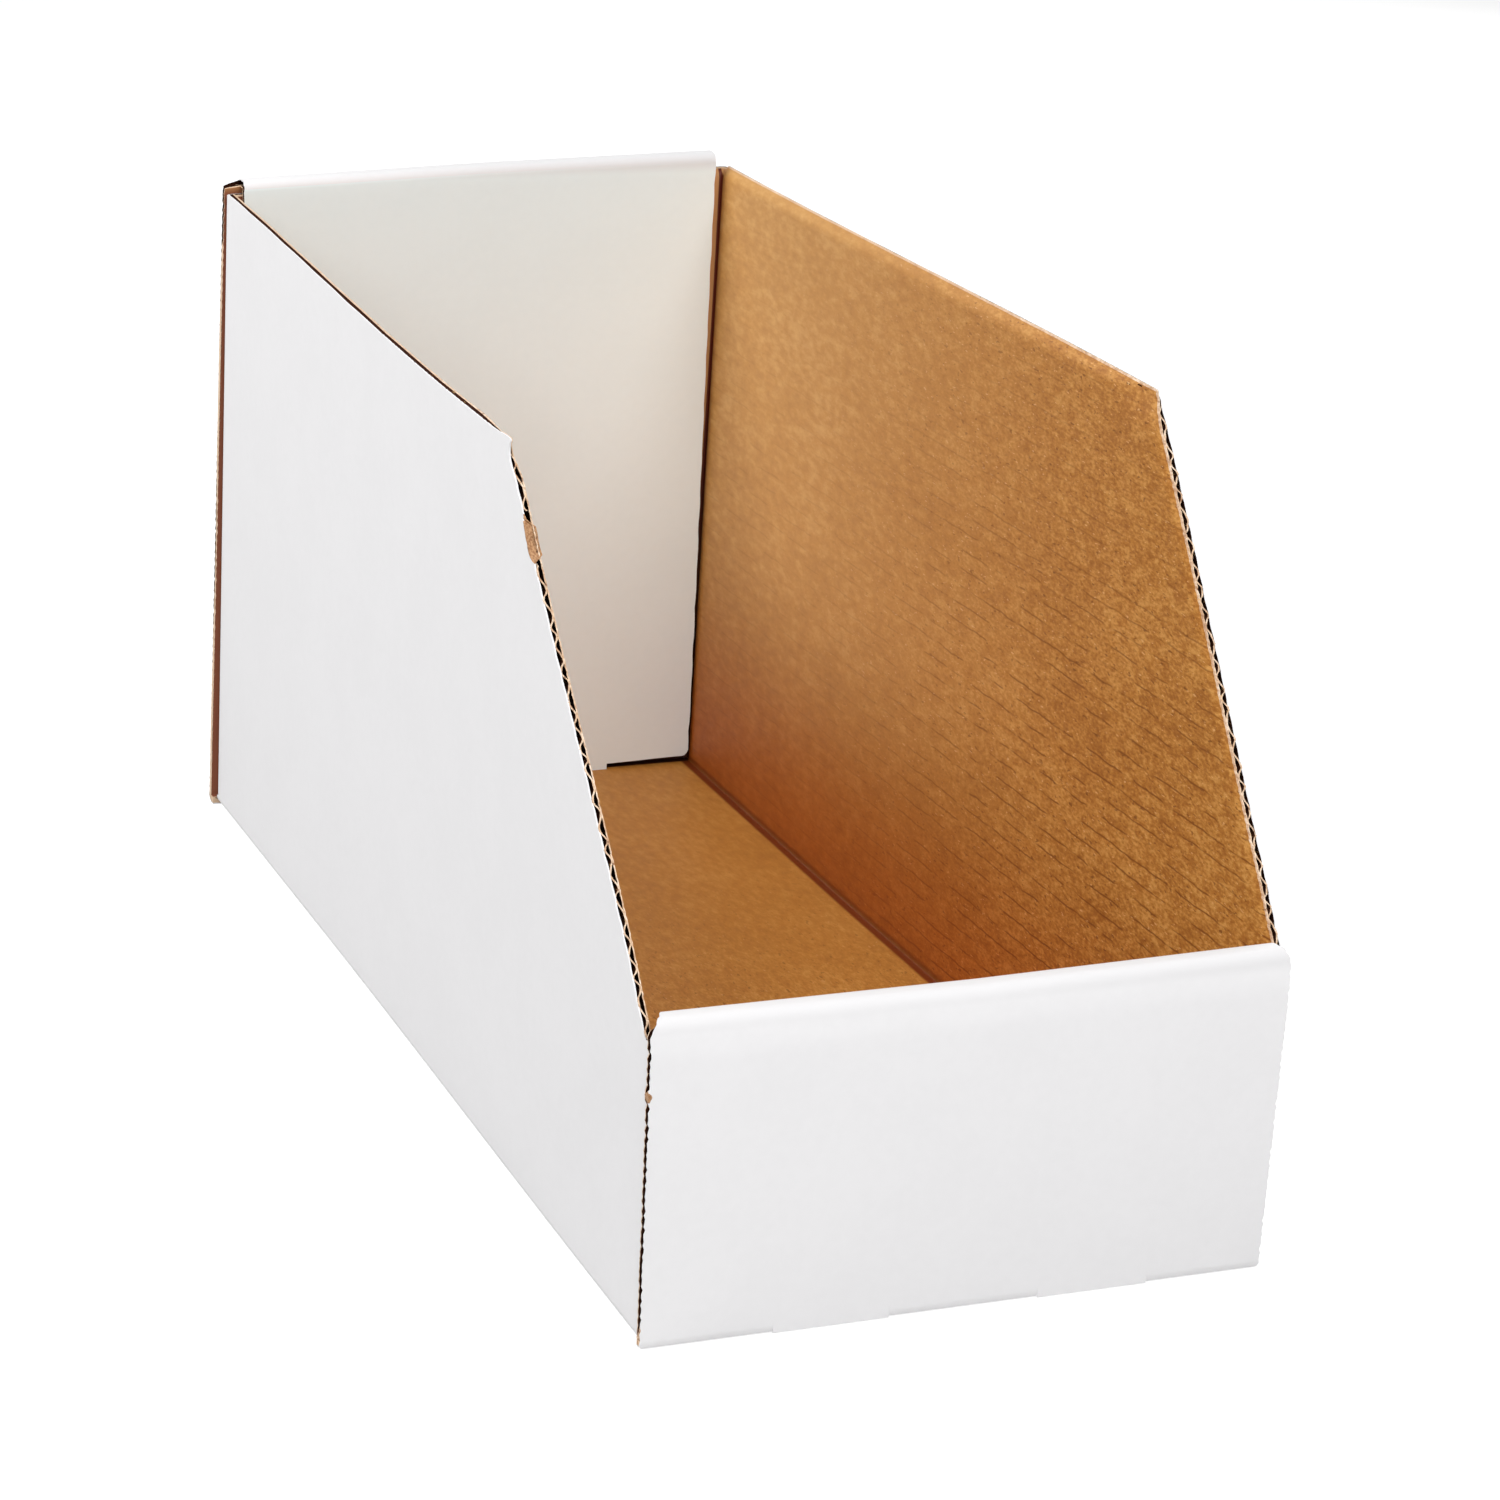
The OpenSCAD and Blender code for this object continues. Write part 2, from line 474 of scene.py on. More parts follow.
class Part(IntEnum):
    """Runs and folds of the walls' path that are asked for by name, from the front tabs to the back ones."""

    FRONT_INNER = 0
    FRONT_ROLL = 1
    FRONT_OUTER = 4
    FRONT_FOOT = 5
    FLOOR = 6
    BACK_FOOT = 7
    BACK_OUTER = 8
    BACK_ROLL = 9
    BACK_INNER = 12


@dataclass(frozen=True)
class GridSteps:
    """Spacing of a paper's grid lines, with 0 across for only the lines that the outline needs."""

    wall: float
    edge: float
    top: float
    side: float
    slope: float
    across: float = 0.0


class Blank:
    """The die-cut sheet as a grid of cells, and the folds that turn it into the bin.

    Rows run from the tips of the front tabs to the tips of the back tabs. Columns run from the left side's
    top edge, down that side, across the floor and up the right side. The cells beside the floor's rows are
    the sides, the cells before and behind it are the rolled walls, and those in the corners are the flaps.
    """

    FOLD_CELLS = 6
    FLAP_FOLD_CELLS = 8
    FLAP_CELLS = 3
    NEAR_ROWS = (17.2, 25.0, 35.0, 50.0, 74.0, 106.0, 138.0)
    NEAR = 170.0
    TEETH_TO = 330.0
    SIDE_STEP = 20.0
    RIM = 1.2
    STEP = 0.05
    SLIT = 0.04
    CENTRE_COLUMNS = (0.0, 15.0, 45.0, 60.0, 90.0)
    STRETCH_FROM = 100.0
    STRETCH_SHARES = (0.5, 0.8, 0.9, 0.96, 1.0)
    STRETCH_RUN = 27.0
    BELOW_NICK = 84.0
    ABOVE_NICK = 112.0
    NICK_COLUMNS = (-6.0, -3.0, -1.6, -0.4, 0.6, 1.8, 3.2, 6.0)
    TOP_ZONE = 8.0
    TOP_COLUMNS = (2.5, 4.5, 6.0, 7.2, 8.0)
    ROLL = 2.1
    CREASE = 6.0
    CORNER = 3.2
    TAPER_BELOW = 1.0
    WALL_TEETH = 0.85
    BACK_TEETH = 0.6
    FOOT_ROUNDING = (0.6, 2.5)
    SLOPE_TEETH = 1.1
    SLOPE_STRETCH = 1.3
    RIGHT_TOP_TEETH = 0.4
    CRUSH_REACH = 2.6
    SLOPE_CRUSH = 0.27
    WALL_CRUSH = 0.08
    SLOPE_SQUARE = 0.78
    PACKED = (Part.FRONT_FOOT, Part.BACK_FOOT, Part.BACK_OUTER)
    PACKED_LENGTH = 5.0
    NICK_BAND = 0.5
    FRAY = 0.3
    SAG = 0.8
    SAG_CLEAR = 12.0
    SAG_RUN = 40.0
    SAG_HEIGHT = 60.0

    def __init__(self, sizes: BinSizes, wear: Wear, steps: GridSteps, inset: float = 0.0,
                 end_inset: float = 0.0):
        """Lays out the lines and the mask.

        Args:
            sizes: Sizes of the bin.
            wear: Sizes and places of the wear.
            steps: Spacing of the lines.
            inset: How far this paper's edges stand back from the board's along the sides.
            end_inset: The same at the ends of the walls.
        """
        self.sizes = sizes
        self.wear = wear
        self.steps = steps
        self.inset = inset
        self.end_inset = end_inset
        self._make_paths()
        self._make_rows()
        self._make_flap_rows()
        self._make_columns()
        self._make_places()
        self.mask = self._make_mask()

    def _make_paths(self) -> None:
        """Makes the fold paths of the walls, of the flaps and of the sides."""
        b = self.sizes
        crown = b.wall - 2 * b.bend
        runs = [
            b.lip_height - b.bend - b.tab_tip,
            crown,
            b.lip_height - 2 * b.bend,
            b.length - 2 * b.bend,
            b.back_height - 2 * b.bend,
            crown,
            b.back_height - b.bend - b.tab_tip,
        ]
        board = (b.bend, b.board)
        creases = [self.ROLL, self.ROLL, self.CREASE, self.CREASE, self.ROLL, self.ROLL]
        self.walls = FoldPath((b.wall, b.tab_tip), 90, runs, creases, board, 1)
        start = (b.floor_half - b.flap_length, b.length - b.flap_back)
        runs = [b.flap_length, b.length - 2 * b.side_start, b.flap_length]
        self.flaps = FoldPath(start, 0, runs, [self.CORNER, self.CORNER], board, -1)
        self.rise = FoldPath((b.floor_half, 0.0), 0, [0.0, b.side_height], [self.ROLL], board, 1)

    def _wall_rows(self, height: float) -> Array:
        """Lays out one wall's rows.

        Args:
            height: Height of the wall.

        Returns:
            Distances from the tips of the wall's tabs to the start of the floor.
        """
        b = self.sizes
        quarter = self.walls.quarter
        tabs = b.low_edge - b.tab_tip
        inner = height - b.bend - b.tab_tip
        crown = inner + quarter
        outer = crown + b.wall - 2 * b.bend + quarter
        foot = outer + height - 2 * b.bend
        end = foot + quarter
        corner = tabs + b.corner * (1 - np.cos(np.radians([30, 60, 90])))
        return np.concatenate([
            [0.0, tabs / 2, tabs],
            corner,
            stations(corner[-1], inner, self.steps.wall)[1:],
            np.linspace(inner, crown, self.FOLD_CELLS + 1)[1:],
            np.linspace(outer - quarter, outer, self.FOLD_CELLS + 1),
            stations(outer, foot, self.steps.edge)[1:],
            np.linspace(foot, end, self.FOLD_CELLS + 1)[1:-1],
            [end - self.STEP, end],
        ])

    def _make_rows(self) -> None:
        """Lays out the rows, and where each is on the walls and on the floor."""
        b = self.sizes
        front = self._wall_rows(b.lip_height)
        back = self.walls.length - self._wall_rows(b.back_height)[::-1]
        fold_start = b.bend + b.layer_gap
        far_slot = b.length - b.slot_end
        middle = np.concatenate([
            [fold_start, b.side_start, b.side_start + self.RIM, b.slot_end],
            self.NEAR_ROWS,
            stations(self.NEAR, self.TEETH_TO, self.steps.top),
            stations(self.TEETH_TO, far_slot, min(self.SIDE_STEP, 4 * self.steps.top))[1:],
            [b.length - b.side_start, b.length - fold_start],
        ])
        self.row = np.concatenate([front, front[-1] + middle - b.bend, back])
        self.row_leg = self.walls.leg_at(self.row)
        self.row_y, self.row_z = self.walls.at(self.row, 0.0)
        self.first_floor = len(front) - 1
        self.first_side = len(front) + 1
        self.last_side = len(front) + len(middle) - 2
        self.last_floor = len(front) + len(middle)
        self.at_foot = np.isin(self.row_leg, (Part.FRONT_FOOT, Part.BACK_FOOT))
        self.packed = np.isin(self.row_leg, self.PACKED)

    def _make_flap_rows(self) -> None:
        """Lays out where the rows beyond the sides fall on the flaps."""
        b = self.sizes
        side_from = b.flap_length + self.flaps.quarter
        side_to = side_from + b.length - 2 * b.side_start
        self.flap_row = np.zeros(len(self.row))
        self.on_flap = np.zeros(len(self.row), bool)
        fold = np.linspace(0, self.flaps.quarter, self.FLAP_FOLD_CELLS + 1)
        flat = self.flaps.quarter + np.linspace(0, b.flap_length, self.FLAP_CELLS + 1)[1:]
        out = np.concatenate([fold, flat])
        self.flap_reach = len(out) - 1
        for number, distance in enumerate(out):
            self.flap_row[self.first_side - number] = side_to + distance
            self.flap_row[self.last_side + number] = side_from - distance
            self.on_flap[[self.first_side - number, self.last_side + number]] = number > 0

    def _make_columns(self) -> None:
        """Lays out the columns of the right half, and mirrors them."""
        b = self.sizes
        across = self.steps.across
        slot = np.array([b.tab_inner - b.slot_play, b.tab_outer + b.slot_play])
        self.slot = slot
        marks = [*self.CENTRE_COLUMNS, *slot, *(slot + [-self.SLIT, self.SLIT]), b.tab_inner, b.tab_outer]
        marks = sorted([*marks, self.STRETCH_FROM])
        beyond = np.array(self.STRETCH_SHARES)
        if across:
            fill = stations(0.0, self.STRETCH_FROM, across)
            marks = sorted(marks + [x for x in fill if min(abs(x - mark) for mark in marks) > 0.4 * across])
            beyond = stations(0.0, 1.0, across / self.STRETCH_RUN)[1:]
        fold = np.linspace(0, self.rise.quarter, self.FOLD_CELLS + 1)[1:]
        foot = b.slope_foot
        zone = b.side_height - self.TOP_ZONE
        if self.steps.side < 5:
            low = stations(b.bend + b.relief, foot, self.steps.side)
        else:
            nick = self.wear.nick_height + np.array(self.NICK_COLUMNS)
            low = stations(b.bend + b.relief, self.BELOW_NICK, self.steps.side)
            low = np.concatenate([low, nick, [self.ABOVE_NICK, foot]])
        high = stations(foot + self.STEP, zone, self.steps.slope)
        heights = np.concatenate([low, high, zone + np.array(self.TOP_COLUMNS)])
        climb = np.concatenate([fold, self.rise.quarter + heights - b.bend])
        stretched = len(beyond) + len(climb)
        x = np.concatenate([marks, np.full(stretched, self.STRETCH_FROM)])
        share = np.concatenate([np.zeros(len(marks)), beyond, np.ones(len(climb))])
        up = np.concatenate([np.zeros(len(x) - len(climb)), climb])
        self.side = np.concatenate([-np.ones(len(x) - 1), np.ones(len(x))])
        self.col_x, self.col_share, self.col_up = (np.concatenate([v[:0:-1], v]) for v in (x, share, up))
        self.col_z = np.where(self.col_up > self.rise.quarter, self.col_up - self.rise.quarter + b.bend, 0.0)
        self.is_centre = self.col_up <= 0
        self.is_side = ~self.is_centre

    def _half_width(self, hand: int) -> Array:
        """Half width of the walls and the floor at each row, on one hand.

        Args:
            hand: -1 for the left, 1 for the right.

        Returns:
            Distance from the middle to the edge.
        """
        b = self.sizes
        w = self.wear
        lean = LEANS[hand]
        leg = self.row_leg
        height = self.row_z
        inside = b.half_width - b.board
        low_half = inside - b.low_gap
        front_roll = inside - lean.roll_gap
        back_roll = inside - lean.back_roll_gap
        lip_up = np.clip(height / b.lip_height, 0, 1)
        back_up = np.clip(height / b.back_height, 0, 1)
        corner = np.clip(b.low_edge + b.corner - height, 0, b.corner)
        rounding = b.corner - np.sqrt(b.corner**2 - corner**2)
        front_inner = low_half + (front_roll - low_half) * lip_up - rounding
        roll_start = self.walls.legs[Part.FRONT_ROLL].start
        roll_run = self.walls.legs[Part.FRONT_OUTER].start - roll_start + self.TAPER_BELOW
        over_roll = np.clip((self.row - roll_start) / roll_run, 0, 1)
        front_end = b.half_width - lean.front_tuck[0] - (lean.front_tuck[1] - lean.front_tuck[0]) * lip_up
        front_outer = front_roll + (front_end - front_roll) * over_roll
        if hand < 0:
            nub = w.nick_nub * bell((height - w.nick_height) / w.nick_nub_half)
            front_outer = front_outer + np.where(leg == Part.FRONT_OUTER, nub, 0.0)
        back_drop = (b.back_height - height - lean.shoulder_start) / b.back_shoulder
        back_end = b.back_width / 2 - lean.rear_tuck[0] - (lean.rear_tuck[1] - lean.rear_tuck[0]) * back_up
        back_outer = back_roll + (back_end - back_roll) * smooth(back_drop)
        back_fall = smooth((b.back_height - height) / b.back_height)
        back_inner = back_roll + (low_half - back_roll) * back_fall - rounding
        half = np.select(
            [leg == Part.FRONT_INNER, leg <= Part.FRONT_FOOT, leg == Part.FLOOR, leg <= Part.BACK_ROLL],
            [front_inner, front_outer, b.floor_half, back_outer],
            back_inner,
        )
        teeth = DieTeeth(10 + hand, depth=self.WALL_TEETH).at(self.row)
        teeth = teeth * np.where(leg > Part.FLOOR, self.BACK_TEETH, 1.0)
        rounded = self.at_foot & (np.abs(self.row - self.row[self.first_floor]) > self.STEP / 2)
        foot_rounding = self.FOOT_ROUNDING[0] * smooth(1 - height / self.FOOT_ROUNDING[1])
        stand_back = teeth + np.where(rounded, foot_rounding, 0.0)
        stand_back = stand_back + np.where(self.packed, self.inset, self.end_inset)
        return half - np.where(leg == Part.FLOOR, 0.0, stand_back)

    def _slope_edge(self, height: Array, hand: Array) -> Array:
        """Places of the sides' sloping front edges.

        Args:
            height: Heights on the side.
            hand: -1 for the left, 1 for the right.

        Returns:
            Distance from the front face to the edge at each height.
        """
        b = self.sizes
        w = self.wear
        slope = b.side_start + (height - b.slope_foot) / b.slope_rise
        along = height * self.SLOPE_STRETCH
        left, right = (DieTeeth(seed, depth=self.SLOPE_TEETH).at(along) for seed in (21, 22))
        below = (b.side_height - height) / w.tip_drop
        hook = w.tip_reach * smooth(1 - below)
        notch = w.tip_notch * smooth(below - w.tip_notch_span[0]) * smooth(w.tip_notch_span[1] - below)
        edge = slope + np.where(hand < 0, left + notch - hook, right) + self.inset
        torn = (np.abs(height - w.tear_height) < w.tear_clear[0] * w.tear_half) & (hand < 0)
        edge = edge + np.where(torn & (self.inset > 0), w.tear_clear[1] * w.tear_width, 0.0)
        return np.where(height > b.slope_foot, edge, b.side_start)

    def _top_edge(self, y: Array, hand: Array) -> Array:
        """Heights of the sides' top edges.

        Args:
            y: Distances from the front face.
            hand: -1 for the left, 1 for the right.

        Returns:
            Height of the edge at each distance.
        """
        b = self.sizes
        w = self.wear
        ragged = np.where(hand < 0, DieTeeth(31).at(y), self.RIGHT_TOP_TEETH * DieTeeth(32).at(y))
        beyond = (y - b.peak_setback) / w.tip_length
        fall = -w.rear_fall * smooth((y - b.peak_setback) / (b.length - b.peak_setback))
        lifted = np.where(hand < 0, w.tip_rise * smooth(1 - beyond), fall)
        return b.side_height - ragged * smooth(beyond) + lifted - self.inset

    def _make_places(self) -> None:
        """Works out each grid point's place on the walls and the floor, on the sides and on the flaps."""
        b = self.sizes
        self.half = np.where(self.side < 0, self._half_width(-1)[:, None], self._half_width(1)[:, None])
        self.x = self.side * (self.col_x + self.col_share * (self.half - self.STRETCH_FROM))
        edge = self._slope_edge(self.col_z, self.side)
        row_y = self.row_y[:, None]
        rim = np.where(row_y > b.side_start + self.RIM / 2, self.RIM, 0.0)
        gone = (row_y - b.side_start - rim) / (self.NEAR - b.side_start - rim)
        near = edge + rim + gone * (self.NEAR - edge - rim)
        self.y = np.where((row_y < self.NEAR) & (row_y > b.side_start - TINY), near, row_y)
        fallen = np.where(self.side > 0, self.wear.rear_fall, 0.0)
        flap_top = b.side_height - b.back_flap_drop - self.inset - fallen
        top = np.where(self.on_flap[:, None], flap_top, self._top_edge(self.y, self.side))
        zone = b.side_height - self.TOP_ZONE
        share = (self.col_z - zone) / self.TOP_ZONE
        self.z = np.where(share > 0, zone + share * (top - zone), self.col_z)

    def _make_mask(self) -> Array:
        """Says which cells the die leaves in the blank.

        Returns:
            True for each cell that is there.
        """
        b = self.sizes
        index = np.arange(len(self.row) - 1)[:, None]
        middle_x = np.abs(middles(self.x[self.first_side]))
        up = middles(self.col_up)
        height = middles(self.col_z)
        y = middles(self.row_y)[:, None]
        along = middles(self.row)[:, None]
        leg = self.walls.leg_at(along)
        tabs = b.low_edge - b.tab_tip
        tab_rows = (along < tabs) | (along > self.walls.length - tabs)
        in_tab = (middle_x > b.tab_inner) & (middle_x < b.tab_outer)
        in_slot = (middle_x > self.slot[0]) & (middle_x < self.slot[1])
        in_slit = (middle_x > self.slot[0] - self.SLIT) & (middle_x < self.slot[1] + self.SLIT) & ~in_slot
        slot_rows = (leg == Part.FLOOR) & ((y < b.slot_end) | (y > b.length - b.slot_end))
        strip = (index == self.first_floor) | (index == self.last_floor - 1)
        foot_rows = (leg == Part.FRONT_FOOT) | (leg == Part.BACK_FOOT) | strip
        centre = ~(tab_rows & ~in_tab) & ~(slot_rows & in_slot) & ~(foot_rows & in_slit)
        is_centre = up <= 0
        is_fold = (up > 0) & (up < self.rise.quarter)
        in_relief = (height < b.bend + b.relief) & ~is_fold & ~is_centre
        low = (height < b.slope_foot) & ~in_relief & ~is_fold & ~is_centre
        high = (height > b.slope_foot) & ~is_centre
        first, last, flap = self.first_side, self.last_side, self.flap_reach
        present = (is_centre & centre) | (is_fold & (index >= first - 1) & (index <= last))
        present |= in_relief & (index >= first) & (index < last)
        present |= low & (index >= first - flap) & (index < last + flap)
        return present | (high & (index >= first) & (index < last + flap))

    def _raw_feet(self, depth: Array) -> tuple[Array, Array, Array]:
        """Outer panels' raw edges, which go straight down where a slot has taken the fold away.

        Args:
            depth: Depths below the white face at every grid point.

        Returns:
            Which grid points these are, and their y and z.
        """
        b = self.sizes
        off = np.abs(self.col_x)
        in_slot = self.is_centre & (off >= self.slot[0] - TINY) & (off <= self.slot[1] + TINY)
        number = np.arange(len(self.row))
        front = (self.row_leg == Part.FRONT_FOOT) | (number == self.first_floor)
        back = (self.row_leg == Part.BACK_FOOT) | (number == self.last_floor)
        start = self.walls.legs[Part.FRONT_FOOT].start
        end = self.walls.legs[Part.BACK_OUTER].start
        fallen = np.where(front, self.row - start, end - self.row) / self.walls.quarter
        z = b.bend * (1 - np.clip(fallen, 0, 1))[:, None] + 0 * depth
        y = np.where(front[:, None], depth, b.length - depth)
        return (front | back)[:, None] & in_slot, y, z

    def _sag(self, z: Array) -> Array:
        """How far the back wall's inner panel hangs lower between its corners than at them.

        Args:
            z: Heights of the grid points on the walls.

        Returns:
            The drop at each grid point.
        """
        b = self.sizes
        share = smooth((b.half_width - self.SAG_CLEAR - np.abs(self.x)) / self.SAG_RUN)
        falling = np.where(z < b.low_edge, z / b.low_edge, 1 - (z - b.low_edge) / self.SAG_HEIGHT)
        on_panel = (self.row_leg == Part.BACK_INNER)[:, None]
        return np.where(on_panel, self.SAG * share * np.clip(falling, 0, 1), 0.0)

    def fold(self, depth: Array | float) -> Array:
        """Folds the sheet up.

        Args:
            depth: Depths below the white face at every grid point, or one depth for all.

        Returns:
            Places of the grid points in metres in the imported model's frame, rows by columns by three.
        """
        b = self.sizes
        depth = np.broadcast_to(depth, self.x.shape)
        wall_y, wall_z = self.walls.at(self.row[:, None], depth)
        feet, foot_y, foot_z = self._raw_feet(depth)
        wall_y = np.where(feet, foot_y, wall_y)
        wall_z = np.where(feet, foot_z, wall_z)
        wall_z = wall_z - self._sag(wall_z)
        above = (self.col_up > self.rise.quarter)[None, :]
        climb = np.where(above, self.z - b.bend + self.rise.quarter, self.col_up)
        side_x, side_z = self.rise.at(climb, depth)
        flap_x, flap_y = self.flaps.at(self.flap_row[:, None], depth)
        on_flap = self.on_flap[:, None] & above
        x = np.where(self.is_side, self.side * np.where(on_flap, flap_x, side_x), self.x)
        y = np.where(self.is_side, np.where(on_flap, flap_y, self.y), wall_y)
        z = np.where(self.is_side, np.where(on_flap, self.z, side_z), wall_z)
        x, y, z = settled(x, y, z, b)
        return np.stack([x, y - b.length / 2, z], axis=-1) * MM

    def _from_cuts(self) -> tuple[Array, Array, Array]:
        """Measures how far the grid points are from the board's cut edges.

        Returns:
            Distances from the sides' top edge, from their sloping edge and from the walls' ends.
        """
        half = self.half + np.where(self.packed, self.inset, self.end_inset)[:, None]
        on_wall = (self.row_leg != Part.FLOOR)[:, None] & self.is_centre[None, :]
        on_slope = self.is_side & (self.col_z > self.sizes.slope_foot)
        slope = self._slope_edge(self.col_z, self.side) - self.inset
        from_top = self._top_edge(self.y, self.side) + self.inset - self.z
        from_slope = self.SLOPE_SQUARE * (self.y - slope)
        from_end = half - np.abs(self.x)
        found = ((self.is_side, from_top), (on_slope, from_slope), (on_wall, from_end))
        return tuple(np.where(there, distance, np.inf) for there, distance in found)

    def crushed(self, depth: Array | float, facing: float) -> Array:
        """Depth in the board where its cut edges are crushed.

        Args:
            depth: Depths below the white face in sound board.
            facing: Thickness of the white facing, which keeps its place.

        Returns:
            The depths at every grid point.
        """
        b = self.sizes
        w = self.wear
        from_top, from_slope, from_end = self._from_cuts()
        left = self.side < 0
        tip = np.where(left, w.tip_crush, w.top_crush[1])
        past_peak = bell((self.y - b.peak_setback) / w.tip_crush_length)
        below_peak = bell((b.side_height - self.col_z) / w.tip_crush_height)
        crush = np.maximum.reduce([
            np.where(left, *w.top_crush) * bell(from_top / self.CRUSH_REACH),
            self.SLOPE_CRUSH * bell(from_slope / self.CRUSH_REACH),
            self.WALL_CRUSH * bell(from_end / self.CRUSH_REACH),
            tip * past_peak * bell(from_top / w.tip_crush_reach),
            tip * below_peak * bell(from_slope / w.tip_crush_reach),
        ])
        return facing + (np.broadcast_to(depth, self.x.shape) - facing) * (1 - crush)

    def pressed_flat(self) -> Array:
        """Grid points at the ends of the lower folds and of the back panel, where the flutes lie flat."""
        return self.packed[:, None] & (self._from_cuts()[2] < self.PACKED_LENGTH)

    def nick_fill(self) -> Array:
        """Bridges the left front fold with the nick's torn paper.

        Returns:
            Extra thickness of the white facing at the grid points.
        """
        w = self.wear
        at_end = self._from_cuts()[2] < self.NICK_BAND
        on_edge = (self.row_leg == Part.FRONT_OUTER)[:, None] & at_end & (self.side < 0)
        fill = w.nick_fill * bell((self.row_z - w.nick_height) / w.nick_fill_half)
        return np.where(on_edge, fill[:, None], 0.0)

    def frayed(self) -> Array:
        """Extra thickness of a facing where its cut edges are frayed."""
        return self.FRAY * bell(np.minimum.reduce(self._from_cuts()))

    def rim(self) -> Array:
        """Cells along the sides' top and sloping edges."""
        rows, columns = np.indices(self.mask.shape)
        top = (columns == 0) | (columns == self.mask.shape[1] - 1)
        return top | ((rows == self.first_side) & (middles(self.col_z) > self.sizes.slope_foot))


def closed_sheet(near: Array, far: Array, mask: Array, skins: Array, back: Skin | Array,
                 wall: Skin) -> bpy.types.Mesh:
    """Makes one closed mesh from two faces of a paper.

    Args:
        near: Grid points of the first face.
        far: Grid points of the second face.
        mask: Cells that are there.
        skins: Skin of each cell of the first face.
        back: Skin of the second face, or of each of its cells.
        wall: Skin of the cut edges.

    Returns:
        The mesh.
    """
    used = np.zeros(near.shape[:2], bool)
    for rows in (slice(None, -1), slice(1, None)):
        for columns in (slice(None, -1), slice(1, None)):
            used[rows, columns] |= mask
    count = int(used.sum())
    number = np.full(used.shape, -1)
    number[used] = np.arange(count)
    points = np.concatenate([near[used], far[used]])
    i, j = np.nonzero(mask)
    ring = [number[i, j], number[i, j + 1], number[i + 1, j + 1], number[i + 1, j]]
    faces = [np.stack(ring, 1), np.stack(ring[::-1], 1) + count]
    kinds = [skins[i, j], np.full(len(i), back.value) if isinstance(back, Skin) else back[i, j]]
    padded = np.pad(mask, 1)
    beside = [padded[i, j + 1], padded[i + 1, j + 2], padded[i + 2, j + 1], padded[i + 1, j]]
    for corner, neighbour in enumerate(beside):
        cut = ~neighbour
        start = ring[corner][cut]
        stop = ring[(corner + 1) % 4][cut]
        faces.append(np.stack([stop, start, start + count, stop + count], 1))
        kinds.append(np.full(len(start), wall.value))
    quads = np.concatenate(faces)
    a, b, c = (points[faces[0][:, k]] for k in range(3))
    outward = np.einsum("ij,ij->i", np.cross(b - a, c - b), near[i, j] - far[i, j])
    if outward.sum() < 0:
        quads = quads[:, ::-1]
    mesh = bpy.data.meshes.new("paper")
    mesh.from_pydata(points.tolist(), [], quads.tolist())
    mesh.polygons.foreach_set("material_index", np.concatenate(kinds).astype(np.int32))
    mesh.validate()
    mesh.shade_smooth()
    mesh.set_sharp_from_angle(angle=radians(SHARP_ANGLE))
    return mesh


class Wire:
    """Value that a node puts out, with the usual signs for sums."""

    def __init__(self, board: "ShaderBoard", socket: bpy.types.NodeSocket):
        """Holds the socket and the board that it is on."""
        self.board = board
        self.socket = socket

    def __add__(self, other: "Wire | float") -> "Wire":
        """Adds."""
        return self.board.math("ADD", self, other)

    def __sub__(self, other: "Wire | float") -> "Wire":
        """Takes away."""
        return self.board.math("SUBTRACT", self, other)

    def __mul__(self, other: "Wire | float") -> "Wire":
        """Multiplies."""
        return self.board.math("MULTIPLY", self, other)

    def __truediv__(self, other: "Wire | float") -> "Wire":
        """Divides."""
        return self.board.math("DIVIDE", self, other)

    def __abs__(self) -> "Wire":
        """Drops the sign."""
        return self.board.math("ABSOLUTE", self)


